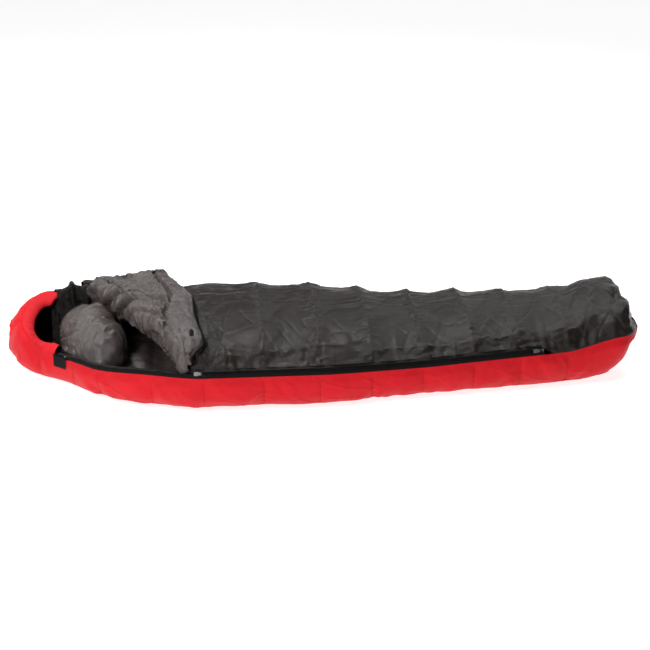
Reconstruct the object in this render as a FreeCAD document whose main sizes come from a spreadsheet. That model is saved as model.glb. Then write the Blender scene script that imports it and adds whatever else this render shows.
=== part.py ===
"""Mummy sleeping bag, unzipped at the neck with its top flap folded back.

Frame: +X runs from the hood (low X) to the foot (high X), +Y to the far side away from the zip, +Z up.
The origin is on the ground under the middle of the bag. Lengths are in millimetres.

The bag is a row of stations along X. Each station is a closed outline, flat below and crowned above.
Every cloth and fill layer is the space between two depths under that outline, so layers meet face to face.
The zip runs along the near side. Cloth is drawn 1.2 mm thick so that it is a solid.
"""

import FreeCAD, Part
import Sketcher
import math
import os

V = FreeCAD.Vector
Z_UP = V(0, 0, 1)
NEAR, FAR = 0, 1
doc = FreeCAD.newDocument("mummy_sleeping_bag")

# ---------------------------------------------------------------------------------------------
# Driving sizes
# ---------------------------------------------------------------------------------------------

SIZES = [
    ("cloth", 1.2, "thickness drawn for a shell or liner cloth"),
    ("bottom_fill", 40, "depth of the bottom panel's fill, under the liner"),
    ("top_fill", 34, "depth of the top panel's fill"),
    ("hood_fill", 30, "depth of the hood's fill"),
    ("foot_fill", 34, "depth of the foot box's fill"),
    ("puff", 5, "how far a chamber swells between its seams"),
    ("belly", 0.46, "height of the widest point, as a share of the whole"),
    ("corner", 150, "width of the rounded corner at the ground"),
    ("corner_power", 0.86, "roundness of that corner, lower is squarer"),
    ("crown_power", 0.74, "roundness of the crown, lower is squarer"),
    ("zip_gap", 28, "height between the bottom and top panels' zip edges"),
    ("zip_tilt", 28, "degrees that the zip's face looks up"),
    ("tape_flat", 7.5, "flat part of each half tape, from the middle of the slit"),
    ("tape_thick", 0.8, "zip tape"),
    ("slit", 1.4, "gap between the two halves of the chain"),
    ("coil_wide", 2.9, "one half of the coil"),
    ("coil_high", 2.4, "coil's height above the tape"),
    ("zip_head", -860, "head end of the lower tape"),
    ("zip_split", -446, "where the chain parts and the head run starts"),
    ("head_run_end", -20, "end of the head slider's straight run"),
    ("foot_run_start", 300, "start of the foot slider's straight run"),
    ("zip_foot", 712, "foot end of the chain"),
    ("head_slider_at", -428, "where the head slider stands"),
    ("foot_slider_at", 692, "where the foot slider stands"),
    ("stop_long", 7, "zip stops along the chain"),
    ("draft_tube_deep", 23, "draft tube behind the zip, across the wall"),
    ("draft_tube_back", 5.5, "draft tube's clear distance behind the tapes"),
    ("slider_long", 17, "slider's plates along the zip"),
    ("slider_wide", 12.4, "slider's plates across the zip"),
    ("plate_thick", 1.2, "slider's plates"),
    ("plate_low", -2.4, "back of the slider's inner plate"),
    ("slider_gap", 4.1, "clear height between the slider's plates"),
    ("flange_wide", 1.1, "slider's side flanges"),
    ("flange_high", 2.4, "slider's side flanges"),
    ("post_long", 3, "web between the plates, through the slit"),
    ("post_wide", 0.8, "web between the plates, through the slit"),
    ("bridge_long", 9, "bridge over the outer plate"),
    ("bridge_high", 4.6, "bridge over the outer plate"),
    ("bridge_wide", 3.4, "bridge across the zip"),
    ("wire", 1.5, "thickness of the bridge and of the pull link"),
    ("link_long", 15, "pull link between its pin and its hole"),
    ("link_wide", 8.4, "pull link"),
    ("link_window", 5.2, "pull link's window across the zip"),
    ("link_lift", 0.5, "pull link's clearance over the outer plate"),
    ("link_hole", 2.8, "pull link's hole for the puller's pin"),
    ("puller_long", 21, "puller from its pin to its end"),
    ("puller_wide", 5.4, "puller"),
    ("puller_thick", 1.8, "puller"),
    ("puller_pin", 2, "puller's pin in the link's hole"),
    ("puller_hole", 2.4, "hole near the puller's end"),
    ("puller_turn", 224, "degrees that the puller is turned on its pin from pointing up across the zip"),
    ("lock_wide", 15, "cord lock barrel's diameter"),
    ("lock_high", 17, "cord lock barrel"),
    ("lock_bore", 9.2, "bore for the button"),
    ("lock_floor", 2, "closed end of the barrel"),
    ("button_wide", 8.6, "button's diameter"),
    ("button_long", 13, "button"),
    ("spring_high", 5.8, "cord lock spring at rest"),
    ("spring_wide", 6.4, "cord lock spring"),
    ("spring_wire", 0.8, "cord lock spring's wire"),
    ("cord_hole", 4.4, "cross hole for a drawcord"),
    ("hood_lock_x", -907, "hood cord lock"),
    ("hood_lock_y", -57, "hood cord lock"),
    ("hood_lock_z", 131, "hood cord lock"),
    ("hood_anchor", 17.5, "webbing between the hood's cord lock and its channel"),
    ("anchor_thick", 3, "webbing that holds a cord lock"),
    ("tab_head", -905, "zip tab's end nearer the hood's tip"),
    ("tab_foot", -864, "zip tab's end nearer the foot"),
    ("tab_clear", 1.6, "closing tab, from the shell to its loop patch"),
    ("tab_low", 92, "zip tab's free edge"),
    ("tab_high", 131, "zip tab's sewn edge"),
    ("patch_thick", 1.4, "hook patch and loop patch"),
    ("tab_thick", 2.2, "zip tab webbing"),
    ("fold_near", -438, "top panel's fold edge at the zip"),
    ("fold_far", -826, "top panel's fold edge at the far side"),
    ("fold_mid_near", -330, "second chamber line of the top panel, zip side"),
    ("fold_mid_far", -520, "second chamber line of the top panel, far side"),
    ("flap_gap", 4.5, "flap's clearance over the top panel"),
    ("flap_thick", 44, "flap where it is fullest"),
    ("flap_thin", 20, "flap at its zip end"),
    ("flap_near_reach", 28, "how far the flap lies back at the zip end"),
    ("flap_far_reach", 256, "how far the flap lies back, carried on to the far side"),
    ("flap_far_y", 232, "Y of the flap's far end"),
    ("flap_low_y", -356, "Y of the flap's zip end"),
    ("flap_first_y", -215, "Y of the flap's first chamber line"),
    ("flap_second_y", 20, "Y of the flap's second chamber line"),
    ("band_from", 0.6, "where the draft tube band starts, as a share of the flap's reach"),
    ("edge_tape", 13, "zip tape beyond the flap's free edge"),
    ("hinge_z", 256, "height of the fold's axis"),
    ("hinge_near_y", -330, "zip end of the fold's axis"),
    ("hinge_far_y", 230, "far end of the fold's axis"),
    ("channel_wide", 13, "hood rim channel's diameter"),
]

# place: X of the outline; centre: Y of its middle; half: half width; floor, crown: lowest and highest Z;
# zipline: Z of the bottom panel's zip edge; seam: Z where the panels meet on the far side
STATIONS = [
    # name, place, centre, half, floor, crown, zipline, seam
    ("tip", -1060, 116, 76, 78, 160, 150, 150),
    ("brow", -1018, 112, 140, 38, 196, 150, 150),
    ("hood", -940, 100, 184, 0, 252, 119, 228),
    ("nape", -835, 62, 234, 0, 248, 126, 150),
    ("neck", -748, 33, 286, 0, 244, 130, 150),
    ("shoulder", -576, 6, 344, 0, 246, 142, 148),
    ("chest", -405, 0, 378, 0, 260, 142, 146),
    ("waist", -212, 0, 374, 0, 252, 141, 144),
    ("hip", -29, 0, 370, 0, 243, 140, 142),
    ("thigh", 144, 0, 340, 0, 236, 134, 136),
    ("knee", 314, 0, 312, 0, 228, 131, 132),
    ("calf", 484, 0, 291, 0, 233, 136, 136),
    ("shin", 643, 0, 272, 0, 237, 141, 141),
    ("ankle", 803, 0, 252, 0, 246, 147, 147),
    ("heel", 930, 0, 238, 12, 286, 176, 166),
    ("arch", 990, 0, 227, 62, 296, 186, 176),
    ("toe", 1035, 0, 204, 124, 248, 184, 182),
    ("sole", 1060, 0, 164, 130, 214, 182, 182),
]
QUANTITIES = ("place", "centre", "half", "floor", "crown", "zipline", "seam")

# The hood's rim: place, and its height at the near and the far side of the outline there
RIM_ROWS = [
    ("rim_tip", -1070, 190, 250),
    ("rim_brow", -998, 168, 226),
    ("rim_hood", -940, 119, 232),
    ("rim_tab", -900, 129, 234),
    ("rim_nape", -805, 128, 232),
]

# The lower draft collar, a stuffed roll across the neck
COLLAR_ROWS = [
    # name, Y across the bag, X of its middle, half length along X, bottom Z, top Z
    ("ball_near", -180, -742, 34, 104, 148),
    ("ball_low", -136, -754, 72, 76, 182),
    ("ball_middle", -30, -776, 96, 58, 214),
    ("ball_high", 86, -790, 84, 60, 216),
    ("ball_far", 160, -800, 38, 98, 182),
]


COLLAR_QUANTITIES = ("across", "middle", "reach", "bottom", "top")


def make_sheet():
    """The spreadsheet with every driving size, each cell under its own alias."""
    sheet = doc.addObject("Spreadsheet::Sheet", "Sizes")
    rows = list(SIZES)
    for name, *numbers in STATIONS:
        rows += [(f"{name}_{q}", n, "station") for q, n in zip(QUANTITIES, numbers)]
    for name, *numbers in RIM_ROWS:
        rows += [(f"{name}_{q}", n, "hood rim row") for q, n in zip(("x", "near", "far"), numbers)]
    for name, *numbers in COLLAR_ROWS:
        rows += [(f"{name}_{q}", n, "lower collar row") for q, n in zip(COLLAR_QUANTITIES, numbers)]
    for row, (alias, number, note) in enumerate(rows, 1):
        sheet.set(f"A{row}", note)
        sheet.set(f"B{row}", str(number))
        sheet.setAlias(f"B{row}", alias)
    doc.recompute()
    return sheet


sheet = make_sheet()


READ = {}


def size(alias):
    """A driving size, read back from the spreadsheet."""
    if alias not in READ:
        READ[alias] = float(sheet.get(alias))
    return READ[alias]


CLOTH = size("cloth")
PLACES = [(name, size(f"{name}_place")) for name, *_ in STATIONS]


def between_rows(rows, place, column):
    """A number from a table of rows at any place, smooth between rows and without overshoot."""
    xs = [row[0] for row in rows]
    ys = [row[column] for row in rows]
    place = min(max(place, xs[0]), xs[-1])
    i = max(k for k in range(len(xs) - 1) if xs[k] <= place)
    steps = [b - a for a, b in zip(xs, xs[1:])]
    slopes = [(b - a) / step for a, b, step in zip(ys, ys[1:], steps)]

    def tangent(k):
        if k == 0 or k == len(xs) - 1 or slopes[k - 1] * slopes[k] <= 0:
            return 0.0 if 0 < k < len(xs) - 1 else slopes[0 if k == 0 else -1]
        return 2 * slopes[k - 1] * slopes[k] / (slopes[k - 1] + slopes[k])

    t = (place - xs[i]) / steps[i]
    return (ys[i] * (1 + 2 * t) * (1 - t) ** 2 + steps[i] * tangent(i) * t * (1 - t) ** 2
            + ys[i + 1] * t * t * (3 - 2 * t) + steps[i] * tangent(i + 1) * t * t * (t - 1))


STATION_ROWS = [[size(f"{name}_{q}") for q in QUANTITIES] for name, *_ in STATIONS]


def at(place, quantity):
    """A station quantity at any place along the bag."""
    return between_rows(STATION_ROWS, place, QUANTITIES.index(quantity))


# ---------------------------------------------------------------------------------------------
# Outlines and lofts
# ---------------------------------------------------------------------------------------------

QUARTER = 48
NEAR_FLOOR, NEAR_MIDDLE, CROWN, FAR_MIDDLE, FAR_FLOOR = [QUARTER * i for i in range(5)]


def ring_point(near_x, far_x, step, depth):
    """A point of the outline: step 0 is the near edge of the floor, 2 quarters is the crown."""
    turn = (step / QUARTER - 1) * math.pi / 2
    cosine, sine = math.cos(turn), math.sin(turn)
    share = (1 - math.cos(min(max(turn, 0), math.pi))) / 2

    def mixed(quantity):
        return at(near_x, quantity) * (1 - share) + at(far_x, quantity) * share

    half, floor, crown = mixed("half") - depth, mixed("floor") + depth, mixed("crown") - depth
    belly = floor + (crown - floor) * size("belly")
    side = math.copysign(1, cosine)
    if sine > 0:
        power = size("crown_power")
        out, z = half * abs(cosine) ** power, belly + (crown - belly) * sine ** power
    else:
        power, corner = size("corner_power"), min(size("corner"), half * 0.7)
        out = half - corner + corner * abs(cosine) ** power
        z = belly - (belly - floor) * (-sine) ** power
    y = mixed("centre") - side * out
    near_y = at(near_x, "centre") - at(near_x, "half")
    far_y = at(far_x, "centre") + at(far_x, "half")
    return V(near_x + (far_x - near_x) * (y - near_y) / (far_y - near_y), y, z)


def ring(near_x, far_x, depth=0):
    """The outline from the near edge of the floor, over the crown, to the far edge of the floor.
    depth draws the outline smaller all round."""
    return [ring_point(near_x, far_x, step, depth) for step in range(FAR_FLOOR + 1)]


def crossing(points, height, start, end, axis="z"):
    """The fractional step between two steps at which the outline passes a height, or a Y."""
    for i in range(start, end):
        a, b = getattr(points[i], axis), getattr(points[i + 1], axis)
        if min(a, b) <= height <= max(a, b) and a != b:
            return i + (height - a) / (b - a)
    raise ValueError(f"the outline does not pass {axis} {height}")


def stretch(points, start, end, count):
    """Evenly spaced points along the outline between two fractional steps, each with its inward direction."""
    def point_at(step):
        i = min(int(step), len(points) - 2)
        return points[i] + (points[i + 1] - points[i]) * (step - i)

    inner_steps = [step for step in range(math.ceil(start + 1e-6), math.ceil(end - 1e-6))]
    steps = [start] + inner_steps + [end]
    path = [point_at(step) for step in steps]
    lengths = [0.0]
    for a, b in zip(path, path[1:]):
        lengths.append(lengths[-1] + (b - a).Length)
    across = V(points[-1].x - points[0].x, points[-1].y - points[0].y, 0)
    plane = Z_UP.cross(across).normalize()
    found = []
    for k in range(count):
        target = lengths[-1] * k / (count - 1)
        i = max(j for j in range(len(lengths) - 1) if lengths[j] <= target + 1e-9)
        share = (target - lengths[i]) / (lengths[i + 1] - lengths[i])
        tangent = (path[i + 1] - path[i]).normalize()
        found.append((path[i] + (path[i + 1] - path[i]) * share, plane.cross(tangent).normalize()))
    return found


def sunk(row, depth, puff=0):
    """The points of a row, moved inward by a depth. puff swells the middle of the row outward."""
    last = len(row) - 1
    return [point + inward * (depth - puff * math.sin(math.pi * k / last) ** 0.7)
            for k, (point, inward) in enumerate(row)]


def curve_through(points):
    """A spline edge with evenly spaced parameters, so that every station's edge has the same knots."""
    curve = Part.BSplineCurve()
    curve.interpolate(Points=points, Parameters=[float(i) for i in range(len(points))])
    return curve.toShape()


def on_floor(points, index, height):
    """A row of points with one end set exactly at the floor's height."""
    points[index] = V(points[index].x, points[index].y, height)
    return points


def puff_at(place, seams):
    """How far a chamber swells: nothing at a seam, full half way to the next."""
    for a, b in zip(seams, seams[1:]):
        if a <= place <= b:
            return size("puff") * math.sin(math.pi * (place - a) / (b - a))
    return 0.0


def bottom_edges(place, depth):
    """The bottom panel's outline at a depth, from its zip edge down, along the floor and up to the far seam."""
    points = ring(place, place)
    zip_edge = crossing(points, at(place, "zipline"), NEAR_FLOOR, CROWN)
    seam = crossing(points, at(place, "seam"), CROWN, FAR_FLOOR)
    floor, puff = at(place, "floor") + depth, puff_at(place, SEAMS)
    near = on_floor(sunk(stretch(points, 0, zip_edge, 17), depth, puff), 0, floor)[::-1]
    far = on_floor(sunk(stretch(points, seam, FAR_FLOOR, 17), depth, puff), -1, floor)[::-1]
    return [curve_through(near), Part.makeLine(near[-1], far[0]), curve_through(far)]


def top_edges(line, depth):
    """The top panel's outline at a depth, from its zip edge over the crown to the far seam."""
    near_x, far_x, puff = line
    points = ring(near_x, far_x)
    zip_edge = crossing(points, at(near_x, "zipline") + size("zip_gap"), NEAR_FLOOR, CROWN)
    clear = 3.4 + 0.011 * abs(far_x - near_x)
    seam = crossing(points, at(far_x, "seam") + clear, CROWN, FAR_FLOOR)
    return [curve_through(sunk(stretch(points, zip_edge, seam, 17), depth, puff))]


def start_of(edge):
    return edge.valueAt(edge.FirstParameter)


def end_of(edge):
    return edge.valueAt(edge.LastParameter)


def band_wire(outer, inner):
    """A closed wire round the space between an outer and an inner row of edges."""
    return Part.Wire(outer + [Part.makeLine(end_of(outer[-1]), end_of(inner[-1]))] + inner[::-1]
                     + [Part.makeLine(start_of(inner[0]), start_of(outer[0]))])


def bottom_wire(place, outer_depth, inner_depth):
    return band_wire(bottom_edges(place, outer_depth), bottom_edges(place, inner_depth))


def top_wire(line, outer_depth, inner_depth):
    return band_wire(top_edges(line, outer_depth), top_edges(line, inner_depth))


def whole_wire(place, depth, drawn_at):
    """The whole closed outline of a place at a depth, drawn at another place along the bag."""
    row = [V(drawn_at, p.y, p.z) for p, _ in stretch(ring(place, place, depth), 0, FAR_FLOOR, 33)]
    return Part.Wire([curve_through(row), Part.makeLine(row[-1], row[0])])


def loft(wires):
    """A ruled solid through closed wires, turned right side out."""
    solid = Part.makeLoft(wires, True, True)
    return solid if solid.Volume > 0 else solid.reversed()


def above_floor(shape):
    """The part of a shape above the ground, which gives it a truly flat base."""
    return shape.cut(Part.makeBox(2600, 1400, 20, V(-1300, -700, -20)))


def show(name, shape, placement=None):
    """A named part of the document with a shape of its own."""
    part = doc.addObject("Part::Feature", name)
    part.Label = name
    part.Shape = shape
    if placement is not None:
        part.Placement = placement
    return part


def group(shapes):
    return shapes[0] if len(shapes) == 1 else Part.makeCompound(shapes)


# ---------------------------------------------------------------------------------------------
# The bag's cloth and fill
# ---------------------------------------------------------------------------------------------

SEAMS = [x for name, x in PLACES if size("nape_place") <= x <= size("ankle_place")]
BODY_PLACES = sorted(SEAMS + [(a + b) / 2 for a, b in zip(SEAMS, SEAMS[1:])])
TOP_SEAMS = [
    (size("fold_near"), size("fold_far"), 0),
    (size("fold_mid_near"), size("fold_mid_far"), 0),
] + [(x, x, 0) for x in SEAMS if x >= size("waist_place")]
END_PLACES = [x for _, x in PLACES if x >= size("ankle_place")]
HOOD_STATIONS = [x for _, x in PLACES if x <= size("nape_place")][::-1]
HOOD_PLACES = sorted(HOOD_STATIONS + [(a + b) / 2 for a, b in zip(HOOD_STATIONS, HOOD_STATIONS[1:])],
                     reverse=True)


def with_middles(lines):
    """Section lines with a swollen one added half way between each two."""
    found = [lines[0]]
    for a, b in zip(lines, lines[1:]):
        found += [((a[0] + b[0]) / 2, (a[1] + b[1]) / 2, size("puff")), b]
    return found


def thirds(lines):
    """The lines of each chamber, seam to seam, through the swollen middle."""
    return [lines[i:i + 3] for i in range(0, len(lines) - 2, 2)]


def bottom_panel():
    """Shell, chambers of fill, and liner of the bottom panel, which wraps up both sides."""
    fill = size("bottom_fill")
    show("bottom_outer_shell", above_floor(loft([bottom_wire(x, -0.6, CLOTH) for x in BODY_PLACES])))
    chambers = [loft([bottom_wire(x, CLOTH, fill) for x in places]) for places in thirds(BODY_PLACES)]
    show("bottom_fill_chambers", group(chambers))
    show("bottom_liner", loft([bottom_wire(x, fill, fill + CLOTH) for x in BODY_PLACES]))


def top_panel():
    """Shell, chambers of fill, and liner of the top panel, which ends at the fold."""
    fill = size("top_fill")
    lines = with_middles(TOP_SEAMS)
    show("top_outer_shell", loft([top_wire(line, 0, CLOTH) for line in lines]))
    chambers = [loft([top_wire(line, CLOTH, fill) for line in three]) for three in thirds(lines)]
    show("top_fill_chambers", group(chambers))
    show("top_liner", loft([top_wire(line, fill, fill + CLOTH) for line in lines]))
    fold = lines[0]
    before = (fold[0] - CLOTH, fold[1] - CLOTH, 0)
    show("top_fold_facing", loft([top_wire(before, 0, fill + CLOTH), top_wire(fold, 0, fill + CLOTH)]))


def end_cap(places, depth, open_by=0):
    """A closed end of the bag at a depth. places run from the open end to the closed one, and open_by
    lengthens the open end, so that one such solid cuts another cleanly."""
    mouth, tip = places[0], places[-1]
    squeeze = 1 - depth / abs(tip - mouth)
    wires = [whole_wire(x, depth, mouth + (x - mouth) * squeeze) for x in places]
    if open_by:
        wires.insert(0, whole_wire(mouth, depth, mouth - math.copysign(open_by, tip - mouth)))
    return loft(wires)


RIM = [[size(f"{name}_{q}") for q in ("x", "near", "far")] for name, *_ in RIM_ROWS]


def rim_height(place, y):
    """Height of the hood's rim at a place and a Y, on the line between its near and far heights."""
    near_y, far_y = at(place, "centre") - at(place, "half"), at(place, "centre") + at(place, "half")
    near_z, far_z = between_rows(RIM, place, 1), between_rows(RIM, place, 2)
    return near_z + (far_z - near_z) * (y - near_y) / (far_y - near_y)


def hood():
    """The hood: a bowl of shell, fill and lining with its rim cut low on the zip side."""
    fill = size("hood_fill")
    sections = []
    for place in [RIM[0][0]] + [RIM[0][0] + 24 * i for i in range(1, 11)] + [RIM[-1][0]]:
        corners = [V(place, -500, rim_height(place, -500)), V(place, 600, rim_height(place, 600)),
                   V(place, 600, 900), V(place, -500, 900)]
        sections.append(Part.makePolygon(corners + corners[:1]))
    opening = loft(sections)
    steps = [0, CLOTH, fill, fill + CLOTH]
    for name, outer, inner in zip(("hood_outer_shell", "hood_fill", "hood_lining"), steps, steps[1:]):
        layer = end_cap(HOOD_PLACES, outer).cut(end_cap(HOOD_PLACES, inner, 20)).cut(opening)
        show(name, layer)


def rim_path():
    """The middle of the hood rim channel, from the zip side round the tip to the far side."""
    near, far = [], []
    for place in [size("nape_place") - 60 - 12 * i for i in range(14)]:
        points = ring(place, place, size("hood_fill") / 2)
        over = [p for p in points if p.z > rim_height(place, p.y)]
        if len(over) > 3:
            near.append(over[0])
            far.append(over[-1])
    lift = V(0, 0, size("channel_wide") / 2 + 2.4)
    path = [p + lift for p in near + far[::-1]]
    for _ in range(3):
        path = [path[0]] + [(a + b * 2 + c) / 4 for a, b, c in zip(path, path[1:], path[2:])] + [path[-1]]
    return path


def foot_box():
    """The foot box: its shell is in two colours, parted along the line of the zip."""
    fill = size("foot_fill")
    steps = [0, CLOTH, fill, fill + CLOTH]
    skin, filling, liner = [end_cap(END_PLACES, a).cut(end_cap(END_PLACES, b, 20)) for a, b in zip(steps, steps[1:])]
    spread = [END_PLACES[0] - 10] + END_PLACES[1:-1] + [END_PLACES[-1] + 10]
    below = loft([
        Part.makePolygon([V(x, -400, at(x, "zipline")), V(x, 400, at(x, "seam")), V(x, 400, -100),
                          V(x, -400, -100), V(x, -400, at(x, "zipline"))]) for x in spread
    ])
    show("foot_box_lower_shell", skin.common(below))
    show("foot_box_upper_shell", skin.cut(below))
    show("foot_box_fill", filling)
    show("foot_box_liner", liner)


# ---------------------------------------------------------------------------------------------
# Zip along the near side
# ---------------------------------------------------------------------------------------------

TILT = math.radians(size("zip_tilt"))
ZIP_UP = V(0, math.sin(TILT), math.cos(TILT))
ZIP_OUT = V(0, -math.cos(TILT), math.sin(TILT))
HEAD_RUN = (size("zip_split"), size("head_run_end"))
FOOT_RUN = (size("foot_run_start"), size("zip_foot"))
CURVED_RUN = [size("zip_head") + (HEAD_RUN[0] - size("zip_head")) * i / 24 for i in range(24)]
LOWER_PLACES = CURVED_RUN + list(HEAD_RUN) + [57, 144, 229] + list(FOOT_RUN)
UPPER_PLACES = [x for x in LOWER_PLACES if x >= HEAD_RUN[0]]


def outline_edges(place):
    """The bottom panel's zip edge and the top panel's, on the outline."""
    points = ring(place, place)
    found = []
    for height in (at(place, "zipline"), at(place, "zipline") + size("zip_gap")):
        step = crossing(points, height, NEAR_FLOOR, CROWN)
        i = int(step)
        found.append(points[i] + (points[i + 1] - points[i]) * (step - i))
    return found


def zip_middle(place):
    """The middle of the chain at a place. It is straight along each slider's run."""
    for start, end in (HEAD_RUN, FOOT_RUN):
        if start <= place <= end:
            first, last = sum(outline_edges(start), V()) / 2, sum(outline_edges(end), V()) / 2
            return first + (last - first) * ((place - start) / (end - start))
    return sum(outline_edges(place), V()) / 2


def zip_section(place, corners):
    """A closed wire at a place from corners given as distance up the tape and distance out from it."""
    middle = zip_middle(place)
    points = [middle + ZIP_UP * up + ZIP_OUT * out for up, out in corners]
    return Part.makePolygon(points + points[:1])


def zip_bar(places, corners):
    return loft([zip_section(x, corners) for x in places])


def half_tape(places, side):
    """One half tape, from the slit to just short of its panel's edge."""
    slit, flat, thick = size("slit") / 2, size("tape_flat"), size("tape_thick")
    wires = []
    for place in places:
        middle, edge = zip_middle(place), outline_edges(place)[0 if side < 0 else 1]
        reach = (edge - middle).dot(ZIP_UP) * side - (2.6 if place > size("nape_place") else 4.8)
        out = (edge - middle).dot(ZIP_OUT)
        corners = [(slit, 0), (flat, 0), (reach, out), (reach, out - thick), (flat, -thick), (slit, -thick)]
        wires.append(zip_section(place, [(up * side, out) for up, out in corners]))
    return loft(wires)


def zip_chain():
    """Half tapes, half coils, stops and the draft tube behind them."""
    slit, wide, high = size("slit") / 2, size("coil_wide"), size("coil_high")
    for name, places, side in (("zip_lower", LOWER_PLACES, -1), ("zip_upper", UPPER_PLACES, 1)):
        show(f"{name}_tape", half_tape(places, side))
        corners = [(slit, 0), (slit + wide, 0), (slit + wide, high), (slit, high)]
        show(f"{name}_coil", zip_bar(places, [(up * side, out) for up, out in corners]))
    long, head, foot = size("stop_long"), size("zip_head"), size("zip_foot")
    grip = [(-slit - 0.2, 0), (-slit - wide - 1.2, 0), (-slit - wide - 1.2, high + 0.8), (-slit - 0.2, high + 0.8)]
    show("zip_head_stop", zip_bar([head - long, head - 0.05], grip))
    reach = slit + wide + 1.2
    box = [(-reach, -1.4), (reach, -1.4), (reach, high + 0.8), (-reach, high + 0.8)]
    show("zip_foot_stop", zip_bar([foot + 0.05, foot + long], box))
    back, deep = size("draft_tube_back"), size("draft_tube_deep")
    tube = [(-8.5, -back - 3), (-7, -back), (8, -back), (11, -back - 3),
            (6.5, -back - deep + 4), (3, -back - deep), (-3, -back - deep), (-5.5, -back - deep + 4)]
    show("zip_draft_tube", zip_bar(UPPER_PLACES, tube))


# ---------------------------------------------------------------------------------------------
# Sketched hardware
# ---------------------------------------------------------------------------------------------


def origin_plane(body, role):
    return next(o for o in body.Origin.OriginFeatures if o.Role == role)


def sketch_at(body, height, role="XY_Plane"):
    """A sketch on one of the body's planes, raised by an expression in driving sizes."""
    sketch = body.newObject("Sketcher::SketchObject", "Sketch")
    sketch.AttachmentSupport = [(origin_plane(body, role), "")]
    sketch.MapMode = "FlatFace"
    sketch.setExpression("AttachmentOffset.Base.z", f"({height}) * 1mm")
    return sketch


def bind(sketch, constraint, expression):
    sketch.setExpression(f"Constraints[{sketch.addConstraint(constraint)}]", f"({expression}) * 1mm")


def rectangle(sketch, left, right, bottom, top):
    """A rectangle whose four sides lie at expressions in driving sizes."""
    corners = [V(-1, -1), V(1, -1), V(1, 1), V(-1, 1)]
    first = sketch.GeometryCount
    for a, b in zip(corners, corners[1:] + corners[:1]):
        sketch.addGeometry(Part.LineSegment(a, b))
    for i in range(4):
        sketch.addConstraint(Sketcher.Constraint("Coincident", first + i, 2, first + (i + 1) % 4, 1))
    for i in (0, 2):
        sketch.addConstraint(Sketcher.Constraint("Horizontal", first + i))
        sketch.addConstraint(Sketcher.Constraint("Vertical", first + i + 1))
    bind(sketch, Sketcher.Constraint("DistanceX", -1, 1, first, 1, -1.0), left)
    bind(sketch, Sketcher.Constraint("DistanceY", -1, 1, first, 1, -1.0), bottom)
    bind(sketch, Sketcher.Constraint("DistanceX", -1, 1, first + 2, 1, 1.0), right)
    bind(sketch, Sketcher.Constraint("DistanceY", -1, 1, first + 2, 1, 1.0), top)


def circle(sketch, x, y, diameter):
    """A circle whose centre and diameter are expressions in driving sizes."""
    index = sketch.addGeometry(Part.Circle(V(1, 1), Z_UP, 1))
    bind(sketch, Sketcher.Constraint("DistanceX", -1, 1, index, 3, 1.0), x)
    bind(sketch, Sketcher.Constraint("DistanceY", -1, 1, index, 3, 1.0), y)
    bind(sketch, Sketcher.Constraint("Diameter", index, 2.0), diameter)


def pad(body, sketch, length):
    feature = body.newObject("PartDesign::Pad", "Pad")
    feature.Profile = sketch
    feature.setExpression("Length", f"({length}) * 1mm")
    return feature


def pocket(body, sketch, length=None):
    """A pocket going down from its sketch, or through everything both ways when it has no length."""
    feature = body.newObject("PartDesign::Pocket", "Pocket")
    feature.Profile = sketch
    if length is None:
        feature.Type = "ThroughAll"
        feature.Midplane = True
    else:
        feature.setExpression("Length", f"({length}) * 1mm")
    return feature


def new_body(name, placement):
    body = doc.addObject("PartDesign::Body", name)
    body.Label = name
    body.Placement = placement
    return body


def frame_at(origin, x_way, z_way):
    """A placement whose X runs along one direction and whose Z is as near as can be to another."""
    return FreeCAD.Placement(origin, FreeCAD.Rotation(x_way, V(), z_way, "XZY"))


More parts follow.
